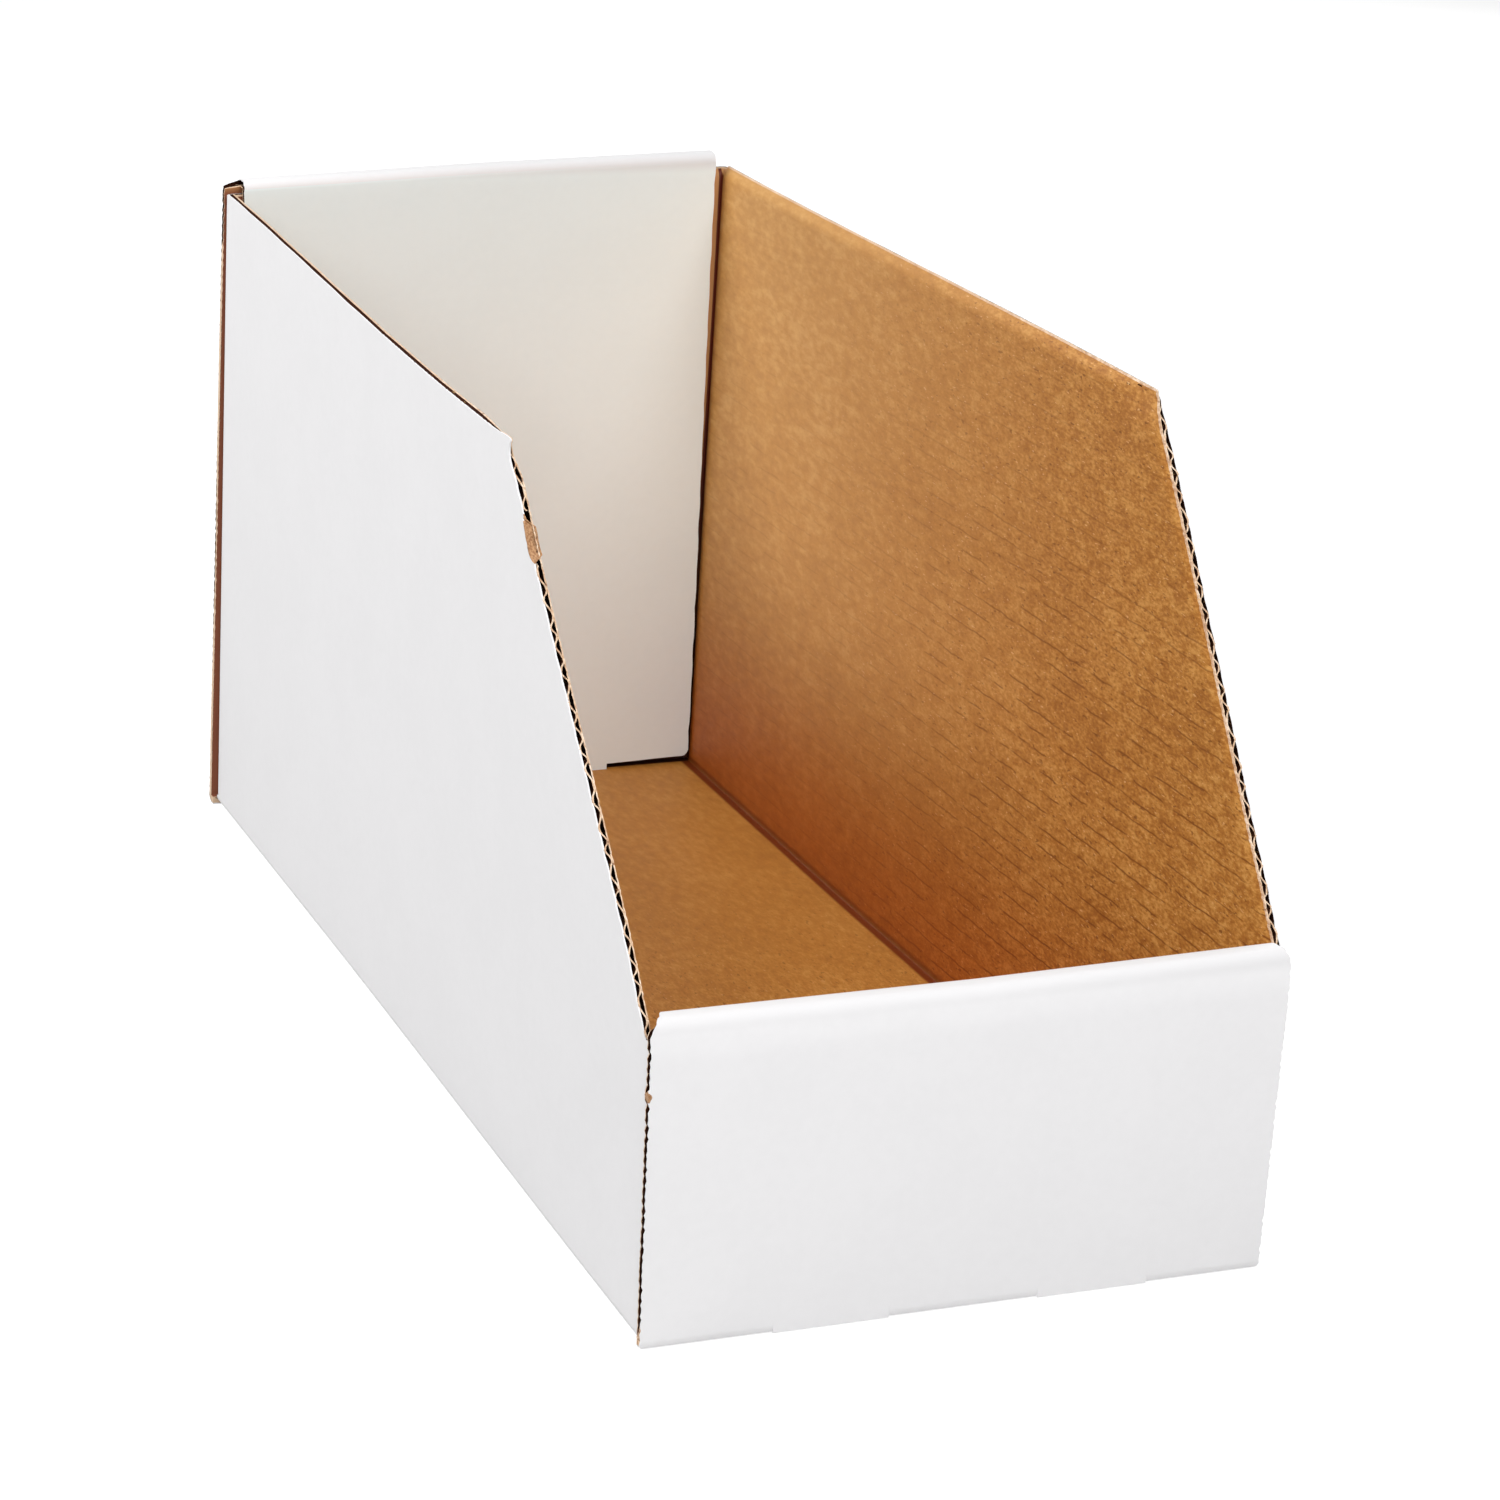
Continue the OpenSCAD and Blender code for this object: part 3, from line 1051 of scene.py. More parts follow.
class ShaderBoard:
    """Short way to lay out the nodes of a material or of the world."""

    def __init__(self, name: str, world: bool = False):
        """Starts a material with one principled shader, or a world with its background.

        Args:
            name: Name of the material or the world.
            world: Whether it is a world.
        """
        self.made = (bpy.data.worlds if world else bpy.data.materials).new(name)
        self.made.use_nodes = True
        self.nodes = self.made.node_tree.nodes
        self.links = self.made.node_tree.links
        self.shader = self.nodes["Background" if world else "Principled BSDF"]

    def feed(self, socket: bpy.types.NodeSocket, source: object) -> None:
        """Links a socket, or sets its value."""
        if isinstance(source, Wire):
            self.links.new(source.socket, socket)
        else:
            socket.default_value = source

    def node(self, kind: str, inputs: dict[int | str, object], output: int | str = 0, **values: str) -> Wire:
        """Adds a node.

        Args:
            kind: Blender's name for the node, less its first word.
            inputs: What is fed to its sockets.
            output: The socket that is used.
            values: Properties of the node.

        Returns:
            What the node puts out.
        """
        node = self.nodes.new(f"ShaderNode{kind}")
        for name, value in values.items():
            setattr(node, name, value)
        for socket, source in inputs.items():
            self.feed(node.inputs[socket], source)
        return Wire(self, node.outputs[output])

    def math(self, operation: str, *sources: Wire | float) -> Wire:
        """Adds a sum."""
        return self.node("Math", dict(enumerate(sources)), operation=operation)

    def band(self, source: Wire, low: Wire | float, high: Wire | float, to_low: float = 0.0,
             to_high: float = 1.0) -> Wire:
        """Maps a range of values onto another one, smoothly and clamped.

        Args:
            source: The value.
            low: Start of its range.
            high: End of its range.
            to_low: What the start becomes.
            to_high: What the end becomes.

        Returns:
            The value mapped.
        """
        inputs = dict(enumerate((source, low, high, to_low, to_high)))
        return self.node("MapRange", inputs, interpolation_type="SMOOTHSTEP")

    def place(self, stretch: tuple[float, ...] = (1.0, 1.0, 1.0)) -> Wire:
        """Place on the object in millimetres, stretched along the axes."""
        where = self.node("TexCoord", {}, "Object")
        return self.node("Mapping", {"Vector": where, "Scale": [value / MM for value in stretch]})

    def axes(self) -> list[Wire]:
        """Place on the object in millimetres, as x, y and z."""
        split = self.node("SeparateXYZ", {0: self.place()}).socket.node
        return [Wire(self, output) for output in split.outputs]

    def noise(self, along: float, size: float, detail: float, rough: float = 0.5, up: float = 1.0) -> Wire:
        """Adds noise whose features have a size in millimetres.

        Args:
            along: How much denser the features lie along y, below 1 for long ones.
            size: Size of the features.
            detail: How many finer layers there are.
            rough: Strength of the finer layers.
            up: How much denser the features lie along z.

        Returns:
            The noise, about 0.5.
        """
        vector = self.place((1.0, along, up))
        inputs = {"Vector": vector, "Scale": 1.0 / size, "Detail": detail, "Roughness": rough}
        return self.node("TexNoise", inputs)

    def blend(self, amount: Wire, first: object, second: object, mode: str = "MIX") -> Wire:
        """Mixes two colours. One of three numbers is a colour as it is seen, 0 to 255."""
        first, second = (linear(*c) if isinstance(c, tuple) and len(c) == 3 else c for c in (first, second))
        return self.node("Mix", {0: amount, 6: first, 7: second}, 2, data_type="RGBA", blend_type=mode)

    def finish(self, colour: object, roughness: float, specular: float) -> bpy.types.Material:
        """Feeds the shader.

        Args:
            colour: Colour, or the wire that gives it.
            roughness: Roughness.
            specular: Specular level.

        Returns:
            The material.
        """
        sources = {"Base Color": colour, "Roughness": roughness, "Specular IOR Level": specular}
        for name, source in sources.items():
            self.feed(self.shader.inputs[name], source)
        return self.made

    def relief(self, height: Wire, depth: float, strength: float) -> None:
        """Turns a height into a bump, with its depth in millimetres."""
        bump = self.node("Bump", {"Strength": strength, "Distance": depth * MM, "Height": height})
        self.feed(self.shader.inputs["Normal"], bump)

    def seen(self) -> Wire:
        """Gives 1 for the camera and for what glossy and clear surfaces show, else 0."""
        rays = [self.node("LightPath", {}, f"Is {ray} Ray") for ray in ("Camera", "Glossy", "Transmission")]
        return self.math("MAXIMUM", self.math("MAXIMUM", rays[0], rays[1]), rays[2])


def linear(red: float, green: float, blue: float) -> Colour:
    """Turns a colour as it is seen into light.

    Args:
        red: Red, 0 to 255.
        green: Green, 0 to 255.
        blue: Blue, 0 to 255.

    Returns:
        The colour as Blender's sockets take it.
    """
    seen = np.array([red, green, blue]) / 255
    light = np.where(seen <= 0.04045, seen / 12.92, ((seen + 0.055) / 1.055) ** 2.4)
    return (*[float(value) for value in light], 1.0)


@dataclass(frozen=True)
class WhiteCoating:
    """Matt white coating on the outside of the board.

    Colours are as they are seen, 0 to 255. Noises, bands and reliefs hold what the shader board's methods of
    those names take after the source.
    """

    sizes: BinSizes
    wear: Wear
    name: str = "white_coating"
    colour: Triple = (240, 239, 240)
    shade: Triple = (238, 237, 238)
    # Painted shade: a greyer white over the tops of the front and back walls, toning down the light from
    # above.
    rolled: Triple = (227, 226, 227)
    bare: Triple = (186, 143, 102)
    bare_dark: Triple = (140, 96, 60)
    roughness: float = 0.6
    specular: float = 0.32

    CLOUD = (1.0, 38.0, 2.0)
    MOTTLE = (1.0, 4.5, 4.0, 0.6)
    FIBRE = (0.35, 0.7, 3.0, 0.6)
    RAGGED = (1.0, 1.6, 2.0)
    TONE = (0.35, 0.65)
    TEAR_EDGE = (1.16, 1.08)
    NICK_PLACE = (1.9, 2.9)
    NICK_REACH = (2.1, 4.5)
    NICK_EDGE = (1.1, 0.9)
    TEAR_RAGGED = 0.35
    NICK_RAGGED = 0.8
    RELIEF = (0.02, 0.25)
    ROLL_BAND = 7.0
    ROLL_EASE = 2.0

    def _torn(self, board: ShaderBoard) -> Wire:
        """Finds where the coating is torn off.

        Args:
            board: The material.

        Returns:
            1 in the patch along the left sloping edge and in the nick in the left fold, else 0.
        """
        b, w = self.sizes, self.wear
        x, y, z = board.axes()
        ragged = board.noise(*self.RAGGED) - 0.5
        edge_y = b.side_start + (w.tear_height - b.slope_foot) / b.slope_rise
        tear = self._found(b.half_width, edge_y, w.tear_height)
        height = z - tear[2]
        up = height / w.tear_half
        across = (y - tear[1] - height / b.slope_rise) / ((up * w.TEAR_TAPER + w.TEAR_BASE) * w.tear_width)
        shape = across * across + board.math("POWER", abs(up), 4.0)
        patch = board.band(ragged * self.TEAR_RAGGED + shape, *self.TEAR_EDGE)
        nick = self._found(b.half_width + self.NICK_PLACE[0], self.NICK_PLACE[1], w.nick_height)
        reach = (*self.NICK_REACH, w.nick_half)
        off = [(axis - middle) / far for axis, middle, far in zip((x, y, z), nick, reach)]
        around = off[0] * off[0] + off[1] * off[1] + off[2] * off[2]
        nicked = board.band(ragged * self.NICK_RAGGED + around, *self.NICK_EDGE)
        return board.math("MAXIMUM", patch, nicked) * board.math("LESS_THAN", x, 0.0)

    def _found(self, x: float, y: float, z: float) -> list[float]:
        """Where a place on the left side stands once the panels have settled, with y from the middle."""
        place = settled(np.array([-x]), np.array([y]), np.array([z]), self.sizes)
        return [float(place[0][0]), float(place[1][0]) - self.sizes.length / 2, float(place[2][0])]

    def _roll_shade(self, board: ShaderBoard) -> Wire:
        """Finds the tops of the front and back walls, which get painted shade to tone down the light from
        above.

        Args:
            board: The material.

        Returns:
            1 along the tops of both walls, else 0.
        """
        b = self.sizes
        _, y, z = board.axes()
        inner = b.length / 2 - b.wall - self.ROLL_EASE
        tops = []
        for hand, height in ((-1, b.lip_height), (1, b.back_height)):
            beyond = board.band(y, hand * (inner - self.ROLL_EASE), hand * inner)
            tops.append(beyond * board.band(z, height - self.ROLL_BAND, height))
        return board.math("MAXIMUM", *tops)

    def make(self) -> bpy.types.Material:
        """Makes the material."""
        board = ShaderBoard(self.name)
        cloud, mottle, fibre = (board.noise(*made) for made in (self.CLOUD, self.MOTTLE, self.FIBRE))
        colour = board.blend(board.band(cloud * 0.5 + mottle * 0.5, *self.TONE), self.shade, self.colour)
        # Painted shade over the tops of the walls.
        colour = board.blend(self._roll_shade(board), colour, self.rolled)
        bare = board.blend(board.band(fibre, *self.TONE), self.bare_dark, self.bare)
        board.relief(mottle * 0.6 + fibre, *self.RELIEF)
        return board.finish(board.blend(self._torn(board), colour, bare), self.roughness, self.specular)


@dataclass(frozen=True)
class Kraft:
    """Brown fibrous paper, with the lines where the flutes are glued to it.

    Colours are as they are seen, 0 to 255, but the painted low shade and the painted sheen multiply the
    colour:
    the first darkens and reddens the inside's lower part as painted shade, the second pales its rear, upper
    part as a painted reflection. The crease line and the tones past the back panel are painted light and
    shade too.
    Noises, bands and reliefs hold what the shader board's methods of those names take after the source. The
    shares say how much of each goes into the tone.
    """

    name: str
    flute_axis: int = 2
    dark: Triple = (155, 97, 40)
    mid: Triple = (183, 124, 56)
    light: Triple = (211, 156, 84)
    speck: Triple = (112, 62, 26)
    fleck: Triple = (236, 190, 128)
    line: Triple = (122, 68, 24)
    # Painted shade on the back panel's edge beyond the left side.
    shade: Triple = (126, 68, 42)
    # Painted shade down the right flap's fold.
    fold: Triple = (92, 30, 10)
    # Painted shade along the inside of the right side's lower fold.
    crease_shade: Triple = (122, 52, 8)
    # Painted shade at the foot of the right flap and on the floor under the back wall.
    gap_shade: Triple = (50, 20, 8)
    # Painted light: a flat tan, lighter than the kraft, on the right flap's top.
    flap: Triple = (206, 150, 96)
    # Painted shade: multiplies the inside's lower part darker and redder.
    painted_low_shade: Colour = (0.97, 0.66, 0.5, 1.0)
    # Painted sheen: multiplies the inside's rear, upper part paler and less saturated, as a painted
    # reflection of the back panel.
    painted_sheen: Colour = (1.2, 1.46, 2.2, 1.0)
    roughness: float = 0.52
    specular: float = 0.3
    line_width: float = 0.085
    line_strength: float = 0.95
    line_waver: float = 2.4
    inside: BinSizes | None = None

    CLOUD = (1.0, 45.0, 3.0)
    MOTTLE = (0.42, 4.2, 3.0, 0.6)
    FIBRE = (0.42, 1.2, 2.0, 0.6)
    SPECKS = (0.35, 1.5, 1.0)
    FLECKS = (0.35, 1.3, 1.0, 0.5, 1.3)
    SPECK_BAND = (0.67, 0.74)
    FLECK_BAND = (0.31, 0.25)
    TONE = (0.34, 0.66)
    GRAIN = 1.9
    GRAIN_SHARE = 0.3
    MOTTLE_SHARE = 0.42
    CLOUD_SHARE = 0.2
    TONE_ADDED = 0.04
    SPECK_SHARE = 0.7
    FLECK_SHARE = 0.6
    RELIEF = (0.05, 0.4)
    COARSE = (220.0, -130.0, 0.05, 1.0)
    CONTRAST = (60.0, -220.0, 0.42, 0.9)
    WAVER = (1.0, 14.0, 2.0)
    BREAKS = (0.16, 3.0, 2.0)
    BREAK_BAND = (0.42, 0.54)
    LINES_FRONT = (140.0, -120.0, 0.2, 1.0)
    LINES_LOW = (290.0, 150.0, 0.3, 1.0)
    CREASE_IN = 1.6
    CREASE_EDGE = (3.1, 1.2)
    CREASE_TOP = (4.0, 1.5)
    FOLD_IN = 0.4
    FOLD_EDGE = (1.1, 0.5)
    GAP_DOWN = (230.0, 60.0)
    PAST_LEFT = (-100.0, -110.0)
    PAST_TOP = 6.0
    BEHIND = (1.0, 3.0)
    LOW_SHADE_DOWN = (110.0, 0.0)
    LOW_SHADE_ABOVE = (4.5, 6.5)
    SHEEN_BACK = (-150.0, 260.0)
    SHEEN_UP = (30.0, 150.0)

    def _lines(self, board: ShaderBoard, axes: list[Wire]) -> Wire:
        """Draws the flute lines: short wavering lines, plainest low down and toward the front.

        Args:
            board: The material.
            axes: The place.

        Returns:
            Strength of the lines.
        """
        waver = (board.noise(*self.WAVER) - 0.5) * self.line_waver
        turns = board.math("FRACT", (waver + axes[self.flute_axis]) / self.inside.flute_pitch)
        line = board.band(abs(turns - 0.5), self.line_width, 0.0)
        broken = board.band(board.noise(*self.BREAKS), *self.BREAK_BAND)
        front = board.band(axes[1], *self.LINES_FRONT)
        low = board.band(axes[2], *self.LINES_LOW)
        return line * broken * (front * low)

    def _crease_shade(self, board: ShaderBoard, axes: list[Wire]) -> Wire:
        """Finds the line of painted shade along the inside of the right side's lower fold.

        Args:
            board: The material.
            axes: The place.

        Returns:
            1 in the line, else 0.
        """
        b, lean = self.inside, LEANS[1]
        x, y, z = axes
        inner = b.half_width - b.board - self.CREASE_IN
        start = -b.length / 2
        feet = (inner + lean.front_foot[0], inner + lean.rear_foot[0])
        line = board.band(y, start, start + lean.FOOT_EASE, *feet)
        low = board.band(z, *(b.board + height for height in self.CREASE_TOP))
        return board.band(abs(x - line), *self.CREASE_EDGE) * low

    def _paint_light_and_shade_behind(self, board: ShaderBoard, axes: list[Wire], colour: Wire) -> Wire:
        """Paints shade, and a light tan, over what shows past the back wall's inner panel and past the left
        side.

        Args:
            board: The material.
            axes: The place.
            colour: The paper's colour elsewhere.

        Returns:
            The colour. The right flap is painted a flat tan, lighter than the kraft, at its top as painted
            light, with painted shade down its fold and at its foot. The back panel's edge beyond the left
            side is painted shade.
        """
        b, lean = self.inside, LEANS[1]
        x, y, z = axes
        inner_panel = b.length / 2 - b.wall
        fold = b.half_width - b.board - self.FOLD_IN
        line = board.band(z, 0.0, b.side_height, fold + lean.rear_foot[0], fold + lean.rear_top[0])
        flap = board.blend(board.band(abs(x - line), *self.FOLD_EDGE), self.flap, self.fold)
        flap = board.blend(board.band(z, *self.GAP_DOWN), flap, self.gap_shade)
        left = board.band(x, *self.PAST_LEFT) * board.band(z, b.side_height, b.side_height - self.PAST_TOP)
        past = board.blend(left, flap, self.shade)
        behind = board.band(y, *(inner_panel + step for step in self.BEHIND))
        return board.blend(behind, colour, past)

    def _mottled(self, board: ShaderBoard, y: Wire) -> tuple[Wire, Wire]:
        """Makes the bare paper, with its fibres and specks plainest toward the front.

        Args:
            board: The material.
            y: Place along the bin.

        Returns:
            Colour and height of the paper.
        """
        cloud, mottle, fibre = (board.noise(*made) for made in (self.CLOUD, self.MOTTLE, self.FIBRE))
        coarse = board.band(y, *self.COARSE)
        grain = (fibre - 0.5) * (coarse * self.GRAIN) + 0.5
        tone = mottle * self.MOTTLE_SHARE + cloud * self.CLOUD_SHARE + self.TONE_ADDED
        tone = grain * self.GRAIN_SHARE + tone
        tone = (tone - 0.5) * board.band(y, *self.CONTRAST) + 0.5
        ramp = board.node("ValToRGB", {0: board.band(tone, *self.TONE)})
        stops = ramp.socket.node.color_ramp.elements
        stops[0].color = linear(*self.dark)
        stops[1].color = linear(*self.light)
        stops.new(0.5).color = linear(*self.mid)
        specks = board.band(board.noise(*self.SPECKS), *self.SPECK_BAND) * (coarse * self.SPECK_SHARE)
        flecks = board.band(board.noise(*self.FLECKS), *self.FLECK_BAND) * (coarse * self.FLECK_SHARE)
        colour = board.blend(flecks, board.blend(specks, ramp, self.speck), self.fleck)
        return colour, fibre * 0.6 + mottle * 0.8

    def make(self) -> bpy.types.Material:
        """Makes the material."""
        board = ShaderBoard(self.name)
        axes = board.axes()
        _, y, z = axes
        colour, height = self._mottled(board, y)
        if self.inside is not None:
            lines = self._lines(board, axes)
            colour = board.blend(lines * self.line_strength, colour, self.line)
            height = height - lines * 0.5
            # Painted shade over the lower part of the inside.
            low = board.band(z, *self.LOW_SHADE_DOWN) * board.band(z, *self.LOW_SHADE_ABOVE)
            colour = board.blend(low, colour, self.painted_low_shade, "MULTIPLY")
            # Painted sheen over the rear, upper part of the inside.
            sheen_place = board.band(y, *self.SHEEN_BACK) * board.band(z, *self.SHEEN_UP)
            colour = board.blend(sheen_place, colour, self.painted_sheen, "MULTIPLY")
            # Painted shade in the right side's lower fold.
            colour = board.blend(self._crease_shade(board, axes), colour, self.crease_shade)
            # Painted light and shade past the back wall's inner panel and past the left side.
            colour = self._paint_light_and_shade_behind(board, axes, colour)
        board.relief(height, *self.RELIEF)
        return board.finish(colour, self.roughness, self.specular)


class Board:
    """The three papers of the board, each folded from its own copy of the blank."""

    FACING = 0.28
    FLUTE_PAPER = 0.34
    CLEAR = 0.05
    VOID = 6.0
    WASHBOARD = 0.04
    PLAIN_STEP = 30.0
    DRIFT = ((0.8, 5.3, 0.0), (0.5, 2.1, 1.0))
    SWING = (0.9, 3.7)
    TEAR_UP = (1.12, 1.3)
    TEAR_AWAY = 1.5
    TEAR_DEPTH = 2.2
    TEAR_TOP = (3.0, 0.85)
    NICK_DEPTH = 1.5

    def __init__(self, sizes: BinSizes, wear: Wear):
        """Makes the finishes that the papers share."""
        self.sizes = sizes
        self.wear = wear
        finishes = {
            Skin.WHITE: WhiteCoating(sizes, wear).make(),
            # Painted light: the cool tint offsets the warm light bounced from the kraft.
            Skin.INNER_WHITE: WhiteCoating(
                sizes, wear, "bounce_tinted_white", colour=(240, 251, 252), shade=(238, 249, 250),
            ).make(),
            Skin.SIDE_KRAFT: Kraft("side_kraft", inside=sizes).make(),
            # Lighter tones than the sides' are painted light on the floor; the board is one paper.
            Skin.FLOOR_KRAFT: Kraft(
                "floor_kraft", flute_axis=0, dark=(169, 108, 46), mid=(198, 138, 63), light=(226, 171, 94),
                line_strength=0.1, inside=sizes,
            ).make(),
            Skin.CUT_EDGE: Kraft(
                "cut_edge", dark=(188, 148, 116), mid=(222, 190, 158), light=(246, 226, 204),
            ).make(),
            # Painted shade: the fluted paper and the facings' hidden faces are near-black, darker than the
            # kraft they are made of.
            Skin.FLUTE: Kraft(
                "void_shade_paper", dark=(42, 20, 11), mid=(58, 28, 15), light=(78, 42, 24), roughness=0.9,
                specular=0.1,
            ).make(),
        }
        self.materials = [finishes[skin] for skin in Skin]

    def _finish(self, mesh: bpy.types.Mesh, name: str) -> bpy.types.Object:
        """Names a paper, dresses it and hands it to the frame.

        Args:
            mesh: The paper's mesh.
            name: Name of the piece.

        Returns:
            The piece.
        """
        mesh.name = name
        for material in self.materials:
            mesh.materials.append(material)
        piece = bpy.data.objects.new(name, mesh)
        bpy.context.scene.collection.objects.link(piece)
        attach(piece, "root")
        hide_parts("folded_bin")
        LOG.info("%s: %d faces", name, len(mesh.polygons))
        return piece

    def white_facing(self) -> bpy.types.Object:
        """Folds the white facing, with the torn patch and the nick."""
        blank = Blank(self.sizes, self.wear, GridSteps(wall=5.0, edge=1.5, top=2.2, side=16.0, slope=2.3))
        dent = self._dents(blank)
        near = blank.fold(dent)
        far = blank.fold(dent + self.FACING + blank.frayed() + blank.nick_fill())
        # The back wall's inner panel gets the cool-tinted white, painted to offset the warm bounced light.
        inner = (blank.row_leg[1:] == Part.BACK_INNER)[:, None] & np.ones(blank.mask.shape, bool)
        skins = np.where(inner, Skin.INNER_WHITE.value, Skin.WHITE.value)
        mesh = closed_sheet(near, far, blank.mask, skins, Skin.FLUTE, Skin.WHITE)
        return self._finish(mesh, "white_facing")

    def _dents(self, blank: Blank) -> Array:
        """Dents in the white facing: the torn patch is crushed at the edge, and the nick is shallow.

        Args:
            blank: The facing's grid.

        Returns:
            Depth of the dents at the grid points.
        """
        w = self.wear
        left_side = (blank.side < 0) & blank.is_side
        away = blank.y - blank.y[blank.first_side]
        squeeze, limit = self.TEAR_UP
        up = np.clip((blank.z - w.tear_height) / w.tear_half, -limit, limit)
        torn = smooth(self.TEAR_DEPTH * (1 - w.tear_shape(squeeze * up, self.TEAR_AWAY * away)))
        torn = np.where(left_side, torn * smooth(self.TEAR_TOP[0] * (self.TEAR_TOP[1] - up)), 0.0)
        cells = (blank.first_side - np.arange(len(blank.row))) / blank.FLAP_FOLD_CELLS
        turned = np.clip(cells, -1, 1)[:, None]
        from_nick = np.hypot((turned - 0.5) * blank.flaps.quarter, blank.z - w.nick_height)
        nicked = smooth(self.NICK_DEPTH * (1 - from_nick / w.nick_half))
        nicked = np.where(left_side & (turned > 0), nicked, 0.0)
        return w.tear_crush * torn + w.nick_depth * nicked

    def fluted_paper(self) -> bpy.types.Object:
        """Folds the fluted paper, whose waves follow each other from one side's top edge to the other's."""
        pitch = self.sizes.flute_pitch
        steps = GridSteps(*[self.PLAIN_STEP] * 3, side=pitch / 6, slope=pitch / 8, across=pitch / 6)
        blank = Blank(self.sizes, self.wear, steps, self.CLEAR, self.VOID)
        middle = self.sizes.board / 2
        swing = middle - self.FACING - self.CLEAR - self.FLUTE_PAPER / 2
        across = np.where(blank.is_side, self.sizes.floor_half + blank.col_up, np.abs(blank.x))
        drift = sum(size * np.sin(across / run + start) for size, run, start in self.DRIFT)
        least, run = self.SWING
        swing = swing * (least + (1 - least) * np.sin(across / run))
        wave = middle + swing * np.cos(2 * pi * across / pitch + drift)
        near = wave - self.FLUTE_PAPER / 2 - blank.frayed()
        far = wave + self.FLUTE_PAPER / 2 + blank.frayed()
        packed = blank.pressed_flat()
        near = np.where(packed, self.FACING + self.CLEAR, near)
        far = np.where(packed, self.sizes.board - self.FACING - self.CLEAR, far)
        near = blank.fold(blank.crushed(near, self.FACING))
        far = blank.fold(blank.crushed(far, self.FACING))
        skins = np.full(blank.mask.shape, Skin.FLUTE.value)
        mesh = closed_sheet(near, far, blank.mask, skins, Skin.FLUTE, Skin.CUT_EDGE)
        return self._finish(mesh, "fluted_paper")

    def brown_facing(self) -> bpy.types.Object:
        """Folds the brown facing, which shows the flutes as a faint washboard along the sides."""
        sixth = self.sizes.flute_pitch / 6
        blank = Blank(self.sizes, self.wear, GridSteps(wall=6.0, edge=2.0, top=8.0, side=sixth, slope=sixth))
        wave = np.where(blank.is_side, np.cos(2 * pi * blank.z / self.sizes.flute_pitch), 0.0)
        thick = self.sizes.board
        near = blank.fold(blank.crushed(thick - self.WASHBOARD * (0.5 - 0.5 * wave), self.FACING))
        far = blank.fold(blank.crushed(thick - self.FACING - self.WASHBOARD, self.FACING) - blank.frayed())
        on_side = blank.is_side[1:] & blank.is_side[:-1]
        skins = np.where(on_side, Skin.SIDE_KRAFT.value, Skin.FLOOR_KRAFT.value)
        skins = np.where(blank.rim(), Skin.CUT_EDGE.value, skins)
        mesh = closed_sheet(near, far, blank.mask, skins, Skin.FLUTE, Skin.CUT_EDGE)
        return self._finish(mesh, "brown_facing")


@dataclass(frozen=True)
class Lamp:
    """Large soft lamp, with its power in watts and its size and place in metres."""

    name: str
    power: float
    size: float
    place: Triple

    def build(self) -> None:
        """Hangs the lamp and aims it at the bin."""
        light = bpy.data.lights.new(self.name, "AREA")
        light.shape = "DISK"
        light.size = self.size
        light.energy = self.power
        lamp = bpy.data.objects.new(self.name, light)
        lamp.location = self.place
        aim = Vector((0.0, 0.0, 0.12)) - lamp.location
        lamp.rotation_euler = aim.to_track_quat("-Z", "Y").to_euler()
        bpy.context.scene.collection.objects.link(lamp)


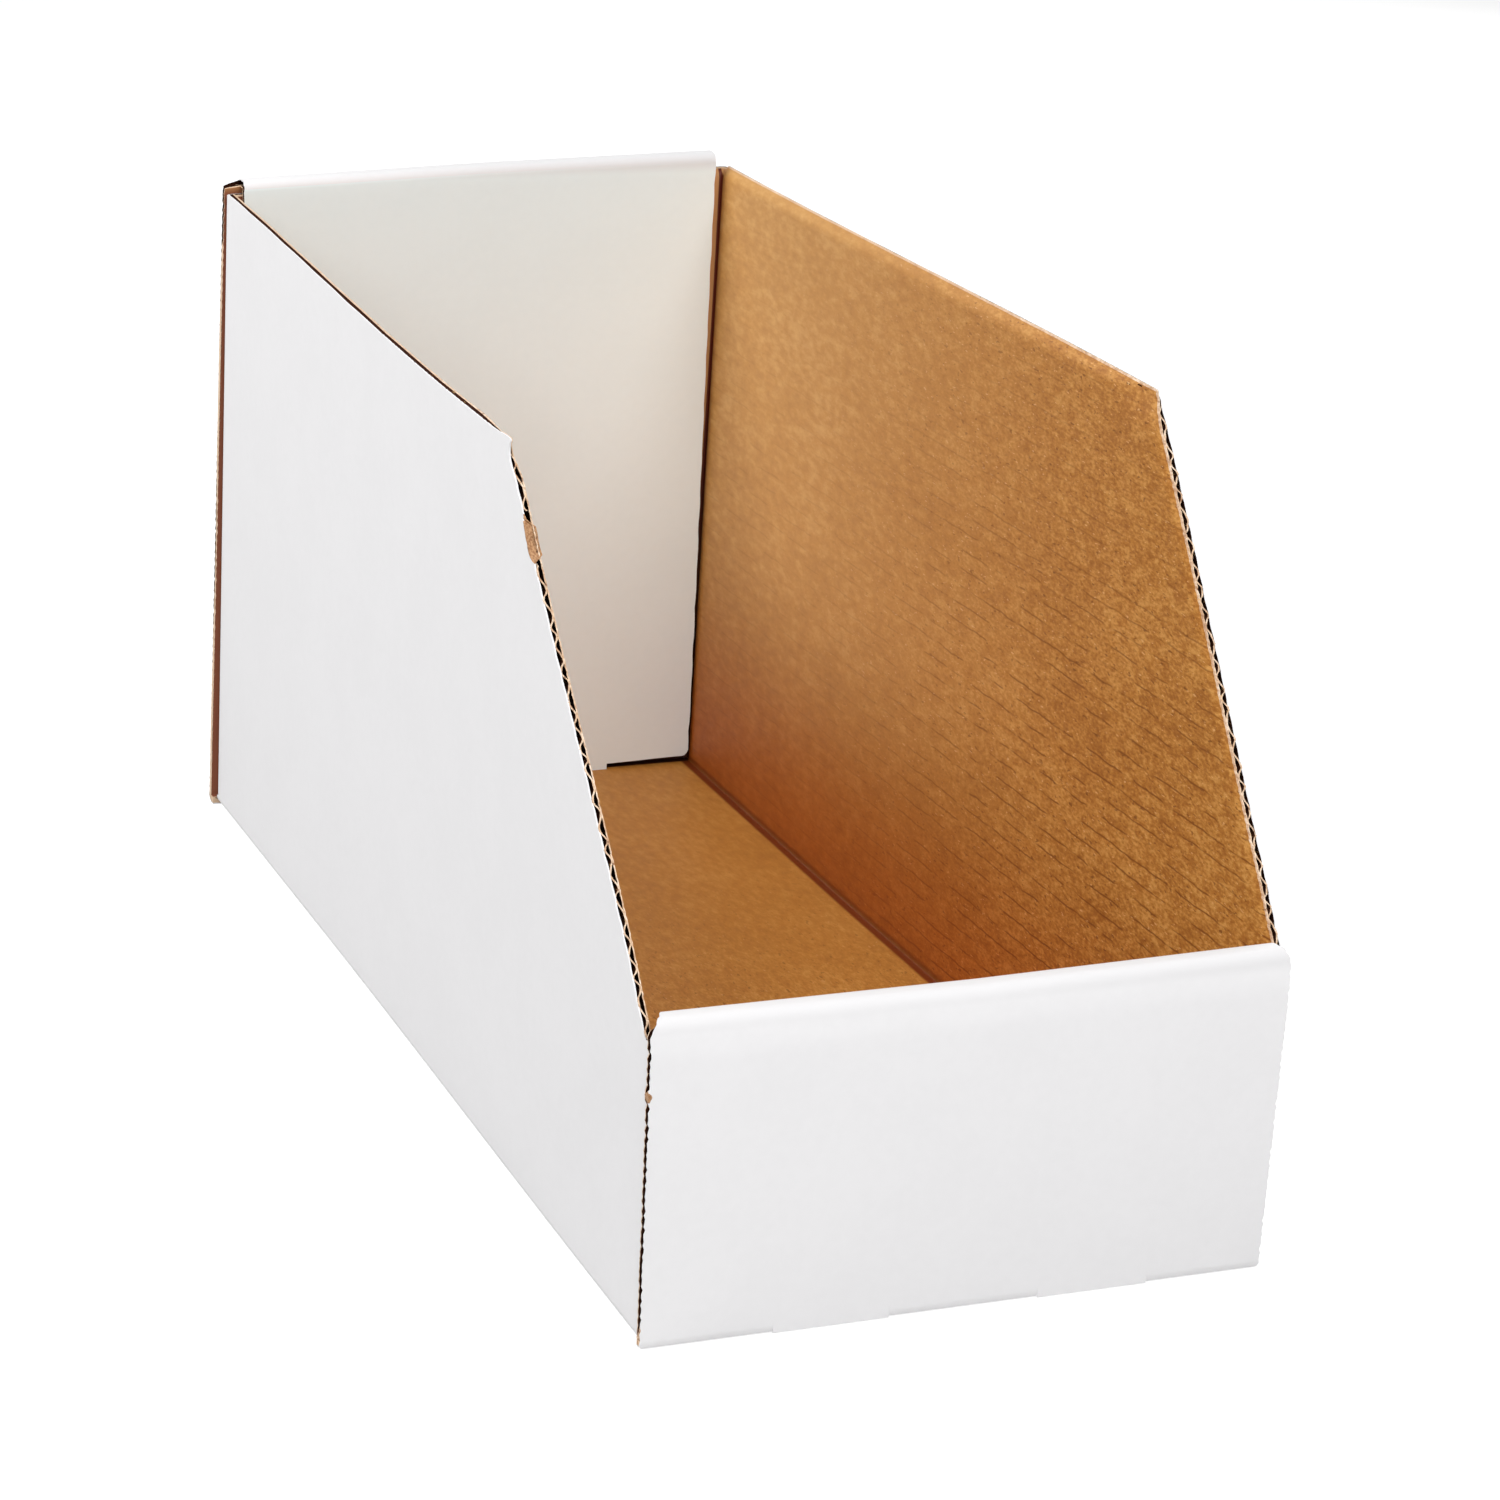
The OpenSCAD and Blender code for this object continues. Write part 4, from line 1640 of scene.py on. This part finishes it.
@dataclass(frozen=True)
class Studio:
    """White floor and plain soft light."""

    floor_half: float = 6.0
    floor_drop: float = 0.0004
    sky: float = 0.14
    floor_tone: float = 0.45
    floor_glow: float = 0.8
    lamps: tuple[Lamp, ...] = (
        Lamp("key", 21.5, 1.6, (-1.9, -1.3, 2.1)),
        Lamp("front", 26.5, 1.2, (0.12, -1.75, 1.5)),
        Lamp("low_front", 8.5, 1.6, (-0.6, -2.6, 1.0)),
        Lamp("side", 34.5, 1.2, (-1.5, 0.6, 1.8)),
        Lamp("rear", 24.0, 1.6, (2.0, 1.7, 1.0)),
    )

    def build(self) -> None:
        """Builds the floor, the sky and the lamps."""
        self._floor()
        self._sky()
        for lamp in self.lamps:
            lamp.build()

    def _floor(self) -> None:
        """White floor that keeps the bin's soft shadow, and glows a little for the camera only."""
        half, drop = self.floor_half, -self.floor_drop
        corners = [(-half, -half, drop), (half, -half, drop), (half, half, drop), (-half, half, drop)]
        mesh = bpy.data.meshes.new("floor")
        mesh.from_pydata(corners, [], [(0, 1, 2, 3)])
        floor = bpy.data.objects.new("floor", mesh)
        bpy.context.scene.collection.objects.link(floor)
        board = ShaderBoard("floor_white")
        mesh.materials.append(board.finish((*[self.floor_tone] * 3, 1.0), 1.0, 0.0))
        glow = board.node("Emission", {"Strength": board.seen() * self.floor_glow})
        both = board.node("AddShader", {0: Wire(board, board.shader.outputs[0]), 1: glow})
        board.feed(board.nodes["Material Output"].inputs["Surface"], both)

    def _sky(self) -> None:
        """White sky, which lights the bin less than it shows."""
        board = ShaderBoard("sky", world=True)
        bpy.context.scene.world = board.made
        board.feed(board.shader.inputs["Color"], (1.0, 1.0, 1.0, 1.0))
        level = board.node("MapRange", {"Value": board.seen(), "To Min": self.sky, "To Max": 1.0})
        board.feed(board.shader.inputs["Strength"], level)


@dataclass(frozen=True)
class PhotoCamera:
    """Camera at the photograph's viewing angle, in degrees and millimetres, with y from the front face."""

    azimuth: float = -22.51
    elevation: float = 18.93
    roll: float = 2.91
    place: Triple = (-656.6, -1347.2, 729.6)
    focal_pixels: float = 4401.0

    def build(self, length: float) -> None:
        """Places the camera.

        Args:
            length: Length of the bin.
        """
        turn, rise, roll = radians(self.azimuth), radians(self.elevation), radians(self.roll)
        ahead = -Vector((sin(turn) * cos(rise), -cos(turn) * cos(rise), sin(rise)))
        level_right = ahead.cross(Vector((0, 0, 1))).normalized()
        level_up = level_right.cross(ahead)
        right = cos(roll) * level_right + sin(roll) * level_up
        up = cos(roll) * level_up - sin(roll) * level_right
        data = bpy.data.cameras.new("photo_camera")
        data.sensor_width = SENSOR_WIDTH
        data.lens = self.focal_pixels / PHOTO_SIDE * SENSOR_WIDTH
        camera = bpy.data.objects.new("photo_camera", data)
        turned = Matrix((right, up, -ahead)).transposed().to_4x4()
        x, y, z = self.place
        camera.matrix_world = Matrix.Translation(Vector((x, y - length / 2, z)) * MM) @ turned
        bpy.context.scene.collection.objects.link(camera)
        bpy.context.scene.camera = camera


def main() -> None:
    """Builds the bin, the studio and the camera."""
    logging.basicConfig(level=logging.INFO, format="%(name)s: %(message)s")
    sizes = BinSizes.from_frame()
    board = Board(sizes, Wear())
    board.white_facing()
    board.fluted_paper()
    board.brown_facing()
    Studio().build()
    PhotoCamera().build(sizes.length)
    bpy.context.scene.view_settings.view_transform = "Standard"


if __name__ == "__main__":
    main()
